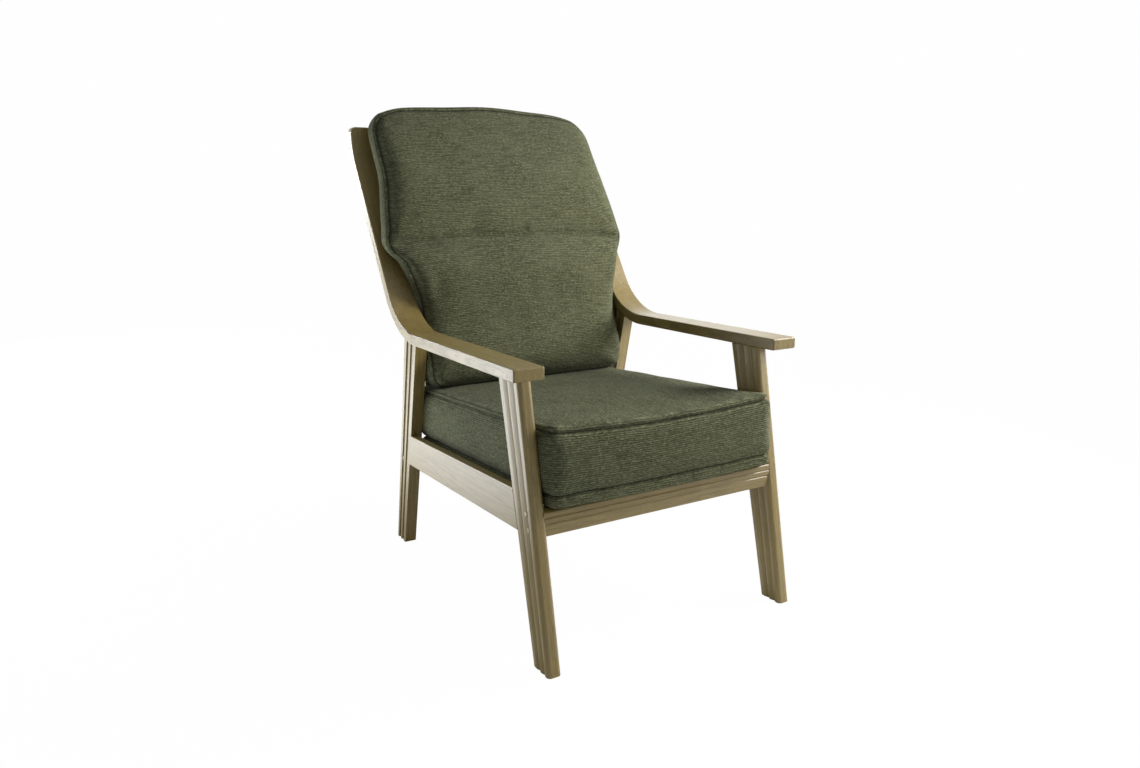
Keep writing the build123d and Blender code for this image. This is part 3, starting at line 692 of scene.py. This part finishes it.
def front_swell(x, z):
    """How far the front panel stands before its seam, in millimetres."""
    edge = edge_distance(x, z, smooth_table(BACK_LINE, z, HALF_FRONT))
    away = z - crease_height(x)
    drawn = sum(share * gauss(away, reach) for share, reach in CREASE_DRAWS)
    drawn *= 1.0 + CREASE_SIDE_DRAW * (abs(x) / CREASE_HALF) ** 2
    rise = smooth_table(BACK_LINE, z, SWELL_FRONT) * bump(edge, FRONT_ROUND) * (1 - drawn)
    slack = sum(depth * ripple(x, z, layer, scale) for depth, layer, scale in SLACK)
    folds = crease_puckers(x, away) + slack + hanging_fold(x, away)
    return rise + folds * bump(edge, FOLDS_ROUND)


def rear_swell(x, z):
    """How far the rear panel stands behind its seam, in millimetres."""
    half = smooth_table(BACK_LINE, z, HALF_REAR)
    full = smooth_table(BACK_LINE, z, SWELL_REAR)
    spread = 1 - (min(abs(x) / half, 1.0)) ** 2
    return full * min(bump(edge_distance(x, z, half), REAR_ROUND), spread * REAR_SIDE_GAIN)


def seam_points(outline, depth_column):
    """Points in the frame of a seam loop that is given as (x, height) in millimetres."""
    points = []
    for x, z in outline:
        depth = smooth_table(BACK_LINE, z, depth_column)
        points.append(Vector((x * MM, depth * MM + FRONT, z * MM)))
    return points


def add_boxing(shell, front, rear):
    """Loops from the front seam to the rear seam, puffed outwards between them."""
    count = len(front)
    middle = Vector((0.0, 0.0, 0.0))
    for point in front:
        middle += point / count
    loops = []
    for share in BOXING_SHARES:
        between = 0 < share < 1
        puff = BOXING_PUFF * bump(min(share, 1 - share), BOXING_ROUND) + (BOXING_LIP if between else 0.0)
        points = []
        for k in range(count):
            start, end = front[k], rear[k]
            ahead = front[(k + 1) % count] - front[k - 1]
            out = ahead.cross(end - start)
            out = out.normalized() if out.length > TINY else Vector((0, 0, 0))
            if out.dot(start - middle) < 0:
                out = -out
            points.append(start.lerp(end, share) + out * puff)
        loop = shell.add_loop(points)
        if not between:
            # Full painted shade along this seam
            shell.sew(loop, 1.0)
        loops.append(loop)
    return loops


def set_depths(rows, depth_column, swell_at, way):
    """Move a panel's grid to its depths; way is -1 for a swell to the front, 1 to the rear."""
    for row in rows:
        for point in row:
            x, z = point.x / MM, point.z / MM
            depth = smooth_table(BACK_LINE, z, depth_column)
            point.y = (depth + way * swell_at(x, z)) * MM + FRONT


def draw_to_crease(rows):
    """Shift the grid's points so that one row runs along the crease; its number in each column."""
    crease_rows = []
    for column in zip(*rows):
        misses = [abs(point.z / MM - crease_height(point.x / MM)) for point in column]
        nearest = misses.index(min(misses))
        middle_z = column[nearest].z
        move = crease_height(column[nearest].x / MM) * MM - middle_z
        for point in column:
            point.z += move * gauss(point.z - middle_z, CREASE_PULL)
        crease_rows.append(nearest)
    return crease_rows


def make_back_cushion():
    nx, ny = BACK_NX, BACK_NY
    shell = Shell()
    front = seam_points(back_outline(HALF_FRONT, *FRONT_CORNERS), SEAM_FRONT)
    rear = seam_points(back_outline(HALF_REAR, *REAR_CORNERS), SEAM_REAR)
    steps = steps_round(front)
    loops = add_boxing(shell, front, rear)
    for k in range(len(loops) - 1):
        start_v = BOXING_CLOTH_WIDTH * BOXING_SHARES[k]
        end_v = BOXING_CLOTH_WIDTH * BOXING_SHARES[k + 1]
        shell.bridge(loops[k], loops[k + 1], start_v, end_v, steps, True)

    def coordinates(i, j):
        return (PANEL_CLOTH_WIDTH * i / nx, PANEL_CLOTH_HEIGHT * j / ny)

    front_rows = grid_fill([shell.verts[v] for v in loops[0]], nx, ny)
    crease_rows = draw_to_crease(front_rows)
    set_depths(front_rows, SEAM_FRONT, front_swell, -1)
    index = shell.panel(loops[0], front_rows, nx, ny, coordinates, False)
    # Painted shade along the crease's row, for the shadow in the crease
    shell.sew([index[crease_rows[i]][i] for i in range(1, nx)], CREASE_PAINTED_SHADE)
    rear_rows = grid_fill([shell.verts[v] for v in loops[-1]], nx, ny)
    set_depths(rear_rows, SEAM_REAR, rear_swell, 1)
    shell.panel(loops[-1], rear_rows, nx, ny, coordinates, True)
    obj = shell.build("back_cushion")
    swell(obj, BACK_MOVE)
    keep_off_slats(obj)
    soften(obj)
    return obj


def slat_front(z):
    """Depth of the front faces of the back slats at a height, in millimetres."""
    if z < SLAT_BEND_Z:
        return SLAT_DEPTH - SLAT_HALF_THICK
    if z < SLAT_LEAN_Z:
        turn = (z - SLAT_BEND_Z) / SLAT_BEND
        return SLAT_DEPTH + SLAT_BEND * quarter_fall(turn) - SLAT_HALF_THICK / sqrt(1 - turn**2)
    if z < SLAT_TOP_Z:
        return SLAT_LEAN_SLOPE * z + SLAT_LEAN_DEPTH
    return SLAT_TOP_DEPTH + (z - SLAT_TOP_Z) * SLAT_TOP_SLOPE


def keep_off_slats(obj):
    """Hold the cushion clear of the slats and the top rail behind it."""
    for vertex in obj.data.vertices:
        limit = (slat_front(vertex.co.z / MM) - SLAT_GAP) * MM + FRONT
        if vertex.co.y > limit:
            vertex.co.y = limit
    obj.data.update()


# Materials

def group_tree(name, inputs, outputs):
    tree = bpy.data.node_groups.new(name, "ShaderNodeTree")
    for label, kind in inputs:
        tree.interface.new_socket(name=label, in_out="INPUT", socket_type=kind)
    for label, kind in outputs:
        tree.interface.new_socket(name=label, in_out="OUTPUT", socket_type=kind)
    return tree, tree.nodes.new("NodeGroupInput"), tree.nodes.new("NodeGroupOutput")


class Graph:
    """Short forms for making shader nodes in one tree."""

    # Sockets of a mix node by its kind: the two inputs and the output
    mix_sockets = {"FLOAT": (2, 3, 0), "RGBA": (6, 7, 2)}

    def __init__(self, tree):
        self.tree = tree

    def set_input(self, socket, value):
        if isinstance(value, bpy.types.NodeSocket):
            self.tree.links.new(value, socket)
        else:
            socket.default_value = value

    def math(self, operation, first, second=0.0):
        node = self.tree.nodes.new("ShaderNodeMath")
        node.operation = operation
        self.set_input(node.inputs[0], first)
        self.set_input(node.inputs[1], second)
        return node.outputs[0]

    def split(self, value):
        node = self.tree.nodes.new("ShaderNodeSeparateXYZ")
        self.set_input(node.inputs[0], value)
        return node.outputs

    def join(self, x, y, z):
        node = self.tree.nodes.new("ShaderNodeCombineXYZ")
        for socket, value in zip(node.inputs, (x, y, z)):
            self.set_input(socket, value)
        return node.outputs[0]

    def noise(self, vector, scale, detail=2.0, rough=0.5):
        node = self.tree.nodes.new("ShaderNodeTexNoise")
        self.set_input(node.inputs["Vector"], vector)
        node.inputs["Scale"].default_value = scale
        node.inputs["Detail"].default_value = detail
        node.inputs["Roughness"].default_value = rough
        return node.outputs[0]

    def streaks(self, point, per_metre, detail=2.0, rough=0.5):
        """Noise whose spots are this many a metre along each part of the point."""
        x, y, z = [self.math("MULTIPLY", part, count) for part, count in zip(point, per_metre)]
        return self.noise(self.join(x, y, z), 1.0, detail, rough)

    def ramp(self, value, low, high, to_low=0.0, to_high=1.0):
        node = self.tree.nodes.new("ShaderNodeMapRange")
        node.interpolation_type = "SMOOTHSTEP"
        self.set_input(node.inputs["Value"], value)
        node.inputs["From Min"].default_value = low
        node.inputs["From Max"].default_value = high
        node.inputs["To Min"].default_value = to_low
        node.inputs["To Max"].default_value = to_high
        return node.outputs[0]

    def mix(self, share, first, second, kind="RGBA"):
        node = self.tree.nodes.new("ShaderNodeMix")
        node.data_type = kind
        first_socket, second_socket, result = self.mix_sockets[kind]
        self.set_input(node.inputs[0], share)
        self.set_input(node.inputs[first_socket], first)
        self.set_input(node.inputs[second_socket], second)
        return node.outputs[result]

    def normal(self, height, strength, distance):
        node = self.tree.nodes.new("ShaderNodeBump")
        node.inputs["Strength"].default_value = strength
        node.inputs["Distance"].default_value = distance
        self.set_input(node.inputs["Height"], height)
        return node.outputs[0]


# Chenille: distance between its ribs, and how far they wander from a straight line
RIB_PITCH = 0.0047
RIB_WANDER = 0.0042
YARN_DARK = (0.078, 0.086, 0.043, 1)
YARN_LIGHT = (0.186, 0.198, 0.110, 1)
# Its flecks: how many a metre along and across the ribs, layer, ramp, strength and colour
FLECKS = [
    (160.0, 400.0, 4.0, 0.54, 0.70, 0.80, (0.330, 0.345, 0.210, 1)),
    (120.0, 330.0, 9.0, 0.56, 0.72, 0.65, (0.165, 0.118, 0.058, 1)),
    (120.0, 350.0, 15.0, 0.53, 0.67, 0.80, (0.026, 0.029, 0.015, 1)),
]
ROW_SHADE = (0.040, 0.044, 0.023, 1)
RIB_SHADE = (0.030, 0.033, 0.017, 1)
LOOP_SHADE = (0.040, 0.044, 0.022, 1)
LOOP_LIGHT = (0.260, 0.270, 0.160, 1)
PATCH_LIGHT = (0.20, 0.21, 0.125, 1)
# Painted shade: the colour that the cloth is darkened to along the seams and the crease, for the shadow in
# their grooves
PAINTED_SEAM_SHADE = (0.014, 0.015, 0.009, 1)

# Wood: its rings' two colours, and those of fibres, pores and clouds
RING_DARK = (0.200, 0.142, 0.034, 1)
RING_LIGHT = (0.262, 0.195, 0.058, 1)
FIBRE_SHADE = (0.112, 0.077, 0.019, 1)
PORE_SHADE = (0.058, 0.040, 0.013, 1)
CLOUD_LIGHT = (0.240, 0.184, 0.064, 1)
# Leans from upright in radians, forwards at the top for a negative one, and the arm post's in degrees
FRONT_LEG_LEAN = 0.218
REAR_LEG_LEAN = -0.226
SLAT_LEAN = 0.4
POST_LEAN = 33.6
# Heights between which the arm turns up into the post, and how weakly its rings change
# from layer to layer, which lets them stand across the width
ARM_TURN = (0.60, 0.76)
ARM_LAYER_SHARE = 0.15

# Webbing: distance between its ribs and between its cords
WEBBING_RIB = 0.0026
WEBBING_CORD = 0.0042


def chenille_group():
    """Ribbed chenille: fine ribs along U, flecks of lighter and darker yarn, and painted shade along the
    seams and the crease.
    """
    tree, inputs, outputs = group_tree(
        "chenille_yarn",
        [("Cloth", "NodeSocketVector"), ("Seam", "NodeSocketFloat")],
        [("Color", "NodeSocketColor"), ("Normal", "NodeSocketVector")],
    )
    g = Graph(tree)
    u, v, _ = g.split(inputs.outputs["Cloth"])
    wander = g.noise(g.join(u, v, 0.0), 42.0, 3.0, 0.6)
    v_bent = g.math("ADD", v, g.math("MULTIPLY", g.math("SUBTRACT", wander, 0.5), RIB_WANDER))

    def yarn_streaks(per_u, per_v, layer, detail=2.0, rough=0.62):
        """Unevenness drawn out along the ribs."""
        place = g.join(g.math("MULTIPLY", u, per_u), g.math("MULTIPLY", v_bent, per_v), layer)
        return g.noise(place, 1.0, detail, rough)

    rib = g.ramp(g.math("SINE", g.math("MULTIPLY", v_bent, 2 * pi / RIB_PITCH)), -1.0, 0.6)
    yarn = yarn_streaks(130.0, 330.0, 2.0, 3.0)
    base = g.mix(g.ramp(yarn, 0.30, 0.70), YARN_DARK, YARN_LIGHT)
    for per_u, per_v, layer, low, high, strength, color in FLECKS:
        fleck = g.ramp(yarn_streaks(per_u, per_v, layer), low, high, 0.0, strength)
        base = g.mix(fleck, base, color)
    rows = yarn_streaks(22.0, 160.0, 0.0)
    base = g.mix(g.ramp(rows, 0.32, 0.60, 0.58, 0.0), base, ROW_SHADE)
    base = g.mix(g.ramp(rib, 0.0, 1.0, 0.62, 0.0), base, RIB_SHADE)
    loops = yarn_streaks(120.0, 190.0, 23.0, 2.0, 0.5)
    base = g.mix(g.ramp(loops, 0.34, 0.56, 0.26, 0.0), base, LOOP_SHADE)
    base = g.mix(g.ramp(loops, 0.52, 0.72, 0.0, 0.30), base, LOOP_LIGHT)
    patch = g.noise(g.join(u, v, 0.0), 9.0, 2.0)
    base = g.mix(g.ramp(patch, 0.3, 0.7, 0.0, 0.16), base, PATCH_LIGHT)
    # Painted shade along the seams and the crease, narrowed by the power
    seam = g.math("MULTIPLY", g.math("POWER", inputs.outputs["Seam"], 2.2), 0.95)
    base = g.mix(seam, base, PAINTED_SEAM_SHADE)
    height = g.math("ADD", g.math("MULTIPLY", rib, 0.9), g.math("MULTIPLY", yarn, 0.9))
    tree.links.new(base, outputs.inputs["Color"])
    tree.links.new(g.normal(height, 1.0, 0.0014), outputs.inputs["Normal"])
    return tree


def wood_group():
    """Oiled oak-like wood whose grain runs along the X of its vector, in metres."""
    tree, inputs, outputs = group_tree(
        "golden_wood",
        [("Grain", "NodeSocketVector")],
        [("Color", "NodeSocketColor"), ("Roughness", "NodeSocketFloat"), ("Normal", "NodeSocketVector")],
    )
    g = Graph(tree)
    x, y, z = g.split(inputs.outputs["Grain"])
    bend = g.streaks((x, y, z), (1.3, 9.0, 9.0))
    y_bent = g.math("ADD", y, g.math("MULTIPLY", bend, 0.020))
    z_bent = g.math("ADD", z, g.math("MULTIPLY", bend, 0.014))
    bent = (x, y_bent, z_bent)
    ring = g.streaks(bent, (2.2, 95.0, 95.0), 3.0, 0.55)
    fibre = g.streaks(bent, (14.0, 620.0, 620.0), 3.0, 0.6)
    pore = g.streaks(bent, (55.0, 1100.0, 1100.0), 1.0)
    cloud = g.streaks((x, y, z), (3.0, 14.0, 14.0))
    color = g.mix(g.ramp(ring, 0.30, 0.70), RING_DARK, RING_LIGHT)
    color = g.mix(g.ramp(fibre, 0.36, 0.66, 0.0, 0.66), color, FIBRE_SHADE)
    color = g.mix(g.ramp(pore, 0.60, 0.74, 0.0, 0.70), color, PORE_SHADE)
    color = g.mix(g.ramp(cloud, 0.35, 0.70, 0.0, 0.25), color, CLOUD_LIGHT)
    rough = g.ramp(fibre, 0.2, 0.8, 0.46, 0.60)
    height = g.math("SUBTRACT", g.math("MULTIPLY", ring, 0.5), g.ramp(pore, 0.60, 0.76, 0.0, 0.8))
    tree.links.new(color, outputs.inputs["Color"])
    tree.links.new(rough, outputs.inputs["Roughness"])
    tree.links.new(g.normal(height, 0.35, 0.0006), outputs.inputs["Normal"])
    return tree


def new_material(name):
    material = bpy.data.materials.new(name)
    material.use_nodes = True
    tree = material.node_tree
    shader = tree.nodes["Principled BSDF"]
    return material, Graph(tree), shader


def use_group(graph, group, vector):
    node = graph.tree.nodes.new("ShaderNodeGroup")
    node.node_tree = group
    graph.tree.links.new(vector, node.inputs[0])
    return node


def object_point(graph):
    return graph.tree.nodes.new("ShaderNodeTexCoord").outputs["Object"]


def chenille_material(name, group):
    material, g, shader = new_material(name)
    uv = g.tree.nodes.new("ShaderNodeUVMap")
    uv.uv_map = "cloth"
    cloth = use_group(g, group, uv.outputs[0])
    # The cushion's attribute that says where the seams' painted shade goes
    seam = g.tree.nodes.new("ShaderNodeAttribute")
    seam.attribute_name = "painted_seam_shade"
    g.tree.links.new(seam.outputs["Fac"], cloth.inputs["Seam"])
    g.tree.links.new(cloth.outputs["Color"], shader.inputs["Base Color"])
    g.tree.links.new(cloth.outputs["Normal"], shader.inputs["Normal"])
    shader.inputs["Roughness"].default_value = 0.95
    shader.inputs["Specular IOR Level"].default_value = 0.10
    shader.inputs["Sheen Weight"].default_value = 0.06
    shader.inputs["Sheen Roughness"].default_value = 0.40
    return material


def wood_material(name, group, along):
    """Wood whose grain runs along the vector that along(graph, x, y, z) gives."""
    material, g, shader = new_material(name)
    x, y, z = g.split(object_point(g))
    wood = use_group(g, group, along(g, x, y, z))
    g.tree.links.new(wood.outputs["Color"], shader.inputs["Base Color"])
    g.tree.links.new(wood.outputs["Roughness"], shader.inputs["Roughness"])
    g.tree.links.new(wood.outputs["Normal"], shader.inputs["Normal"])
    shader.inputs["Specular IOR Level"].default_value = 0.35
    shader.inputs["Coat Weight"].default_value = 0.6
    shader.inputs["Coat Roughness"].default_value = 0.34
    return material


def along_width(g, x, y, z):
    return g.join(x, y, z)


def along_depth(g, x, y, z):
    return g.join(y, x, z)


def turned(g, y, z, lean):
    """Way along a line that leans by this angle from upright, seen from the side, and across it."""
    run = g.math("ADD", g.math("MULTIPLY", z, cos(lean)), g.math("MULTIPLY", y, sin(lean)))
    across = g.math("SUBTRACT", g.math("MULTIPLY", y, cos(lean)), g.math("MULTIPLY", z, sin(lean)))
    return run, across


def leaning(lean):
    """Grain along a leg or slat that leans by this angle from upright, seen from the side."""

    def along(g, x, y, z):
        run, across = turned(g, y, z, lean)
        return g.join(run, across, x)

    return along


def along_arm_post(g, x, y, z):
    """Grain along the arm, then turning up into the post; the rings stand across the width."""
    turn = g.ramp(z, *ARM_TURN)
    up, square = turned(g, y, z, radians(POST_LEAN))
    run = g.mix(turn, y, up, "FLOAT")
    layer = g.math("MULTIPLY", g.mix(turn, z, square, "FLOAT"), ARM_LAYER_SHARE)
    return g.join(run, layer, x)


def plain_material(name, color, shade, rough, metal, specks):
    """Evenly coloured small part with fine specks of a darker shade, this many a metre."""
    material, g, shader = new_material(name)
    speck = g.noise(object_point(g), specks, 3.0)
    tone = g.mix(g.ramp(speck, 0.3, 0.7), color, shade)
    g.tree.links.new(tone, shader.inputs["Base Color"])
    g.tree.links.new(g.normal(speck, 0.15, 0.0003), shader.inputs["Normal"])
    shader.inputs["Roughness"].default_value = rough
    shader.inputs["Metallic"].default_value = metal
    return material


def webbing_material():
    """Woven elastic webbing, ribbed across its length."""
    material, g, shader = new_material("seat_webbing")
    x, y, _ = g.split(object_point(g))
    ribs = g.math("SINE", g.math("MULTIPLY", y, 2 * pi / WEBBING_RIB))
    cords = g.math("SINE", g.math("MULTIPLY", x, 2 * pi / WEBBING_CORD))
    weave = g.math("MULTIPLY", ribs, cords)
    tone = g.mix(g.ramp(weave, -0.8, 0.8), (0.020, 0.018, 0.016, 1), (0.075, 0.068, 0.060, 1))
    g.tree.links.new(tone, shader.inputs["Base Color"])
    g.tree.links.new(g.normal(weave, 0.5, 0.0005), shader.inputs["Normal"])
    shader.inputs["Roughness"].default_value = 0.85
    return material


# Small parts: material, nodes, colour and its darker shade, roughness, metal and specks a metre
PLAIN_PARTS = [
    ("dowel_beech", ["side_rail_dowels", "arm_dowels"],
     (0.60, 0.45, 0.28, 1), (0.50, 0.36, 0.21, 1), 0.6, 0.0, 300.0),
    ("cap_brown", ["bolt_caps"],
     (0.34, 0.27, 0.13, 1), (0.26, 0.20, 0.09, 1), 0.30, 0.0, 400.0),
    ("zinc_plate", ["front_rail_bolts", "rear_rail_bolts", "top_rail_bolts", "barrel_nuts", "strap_clips"],
     (0.58, 0.58, 0.56, 1), (0.47, 0.47, 0.46, 1), 0.32, 1.0, 500.0),
    ("cushion_foam", ["seat_cushion_core", "back_cushion_core"],
     (0.80, 0.76, 0.62, 1), (0.68, 0.64, 0.50, 1), 0.95, 0.0, 900.0),
    ("zip_tape", ["seat_cushion_zip", "back_cushion_zip"],
     (0.060, 0.066, 0.038, 1), (0.035, 0.038, 0.022, 1), 0.8, 0.0, 900.0),
]

# Wooden parts: material, nodes and the way that the grain runs
WOODEN_PARTS = [
    ("arm_wood", ["left_arm_post", "right_arm_post"], along_arm_post),
    ("front_leg_wood", ["left_front_leg", "right_front_leg"], leaning(FRONT_LEG_LEAN)),
    ("rear_leg_wood", ["left_rear_leg", "right_rear_leg"], leaning(REAR_LEG_LEAN)),
    ("side_rail_wood", ["left_side_rail", "right_side_rail"], along_depth),
    ("cross_rail_wood", ["front_rail", "rear_seat_rail", "lower_back_rail", "top_back_rail"], along_width),
    ("slat_wood", ["back_slat_" + str(k) for k in range(1, 6)], leaning(SLAT_LEAN)),
]


def paint(names, material):
    for name in names:
        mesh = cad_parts[name].data
        mesh.materials.clear()
        mesh.materials.append(material)


def paint_frame():
    wood = wood_group()
    for material, names, along in WOODEN_PARTS:
        paint(names, wood_material(material, wood, along))
    for material, names, color, shade, rough, metal, specks in PLAIN_PARTS:
        paint(names, plain_material(material, color, shade, rough, metal, specks))
    paint(["seat_strap_" + str(k) for k in range(1, 6)], webbing_material())


# Lights: name, place, the point aimed at, width and height, watts and colour
LIGHTS = [
    ("rim", (-2.0, 4.4, 1.15), (-0.2, 0.0, 0.6), (2.0, 0.8), 68.0, (0.93, 0.965, 1.0)),
    ("low_glow", (-1.35, 1.35, 0.02), (-1.35, 1.35, 1.0), (1.5, 2.2), 42.0, (0.92, 0.96, 1.0)),
    ("rim_right", (2.4, 2.6, 1.6), (0.1, 0.1, 0.6), (1.2, 1.8), 8.0, (0.90, 0.95, 1.0)),
    ("key", (1.5, -0.65, 1.28), (0.0, 0.1, 0.65), (0.9, 0.9), 54.0, (1.0, 0.98, 0.94)),
    ("front_fill", (3.0, -2.2, 1.2), (0.0, 0.0, 0.5), (1.4, 1.4), 25.0, (1.0, 0.99, 0.96)),
    ("left_fill", (-1.8, 1.45, 0.40), (-0.2, 0.2, 0.35), (0.9, 0.5), 16.0, (0.96, 0.98, 1.0)),
]

# Floor: half its side, how far it lies under the feet, and how white the camera sees it
FLOOR_HALF = 14.0
FLOOR_DROP = 0.0004
FLOOR_WHITE_SHARE = 0.985
# World: strength as the camera and reflections see it, and as light
WORLD_SEEN = 0.992
WORLD_FILL = 0.28

# Camera: focal length and width of the picture in pixels, place with its depth counted
# from the front feet, degrees that it looks down and that it stands round to the left
FOCAL_LENGTH = 856.95
PICTURE_WIDTH = 1140.0
SENSOR_WIDTH = 36.0
CAMERA_PLACE = (-1.0776, -1.3320, 0.9433)
CAMERA_DOWN = 12.6246
CAMERA_ROUND = 31.003


def area_light(name, place, aim, size, power, color):
    data = bpy.data.lights.new(name, "AREA")
    data.shape = "RECTANGLE"
    data.size, data.size_y = size
    data.energy = power
    data.color = color
    obj = link(bpy.data.objects.new(name, data))
    obj.location = place
    obj.rotation_euler = (Vector(aim) - Vector(place)).to_track_quat("-Z", "Y").to_euler()
    obj.visible_camera = False


def make_floor():
    mesh = bpy.data.meshes.new("floor")
    corners = [(-1, -1), (1, -1), (1, 1), (-1, 1)]
    points = [(FLOOR_HALF * x, FLOOR_HALF * y, 0) for x, y in corners]
    mesh.from_pydata(points, [], [(0, 1, 2, 3)])
    floor = link(bpy.data.objects.new("floor", mesh))
    floor.location.z = -FLOOR_DROP
    material, g, shader = new_material("white_floor")
    shader.inputs["Base Color"].default_value = (0.9, 0.9, 0.9, 1)
    shader.inputs["Roughness"].default_value = 0.8
    tree = material.node_tree
    path = tree.nodes.new("ShaderNodeLightPath")
    white = tree.nodes.new("ShaderNodeEmission")
    white.inputs["Color"].default_value = (1, 1, 1, 1)
    white.inputs["Strength"].default_value = 1.0
    choose = tree.nodes.new("ShaderNodeMixShader")
    share = g.math("MULTIPLY", path.outputs["Is Camera Ray"], FLOOR_WHITE_SHARE)
    tree.links.new(share, choose.inputs[0])
    tree.links.new(shader.outputs[0], choose.inputs[1])
    tree.links.new(white.outputs[0], choose.inputs[2])
    tree.links.new(choose.outputs[0], tree.nodes["Material Output"].inputs["Surface"])
    mesh.materials.append(material)


def background(tree, color, strength):
    node = tree.nodes.new("ShaderNodeBackground")
    node.inputs["Color"].default_value = color
    node.inputs["Strength"].default_value = strength
    return node


def make_world():
    world = bpy.data.worlds.new("studio")
    bpy.context.scene.world = world
    world.use_nodes = True
    tree = world.node_tree
    tree.nodes.clear()
    output = tree.nodes.new("ShaderNodeOutputWorld")
    seen = background(tree, (1, 1, 1, 1), WORLD_SEEN)
    fill = background(tree, (0.96, 0.98, 1.0, 1), WORLD_FILL)
    path = tree.nodes.new("ShaderNodeLightPath")
    direct = Graph(tree).math("MAXIMUM", path.outputs["Is Camera Ray"], path.outputs["Is Glossy Ray"])
    choose = tree.nodes.new("ShaderNodeMixShader")
    tree.links.new(direct, choose.inputs[0])
    tree.links.new(fill.outputs[0], choose.inputs[1])
    tree.links.new(seen.outputs[0], choose.inputs[2])
    tree.links.new(choose.outputs[0], output.inputs["Surface"])


def make_camera():
    data = bpy.data.cameras.new("camera")
    data.sensor_width = SENSOR_WIDTH
    data.lens = FOCAL_LENGTH / PICTURE_WIDTH * SENSOR_WIDTH
    data.clip_end = 60.0
    camera = link(bpy.data.objects.new("camera", data))
    x, depth, height = CAMERA_PLACE
    camera.location = (x, depth + FRONT, height)
    camera.rotation_euler = (radians(90 - CAMERA_DOWN), 0, radians(-CAMERA_ROUND))
    bpy.context.scene.camera = camera


def build():
    cloth = chenille_material("sage_chenille", chenille_group())
    seat = make_seat_cushion()
    seat.data.materials.append(cloth)
    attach(seat, "seat_cushion")
    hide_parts("seat_cushion_cover")
    back = make_back_cushion()
    back.data.materials.append(cloth)
    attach(back, "back_cushion")
    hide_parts("back_cushion_cover")
    paint_frame()
    make_floor()
    make_world()
    make_camera()
    for light in LIGHTS:
        area_light(*light)


build()
bpy.context.scene.view_settings.view_transform = "Standard"
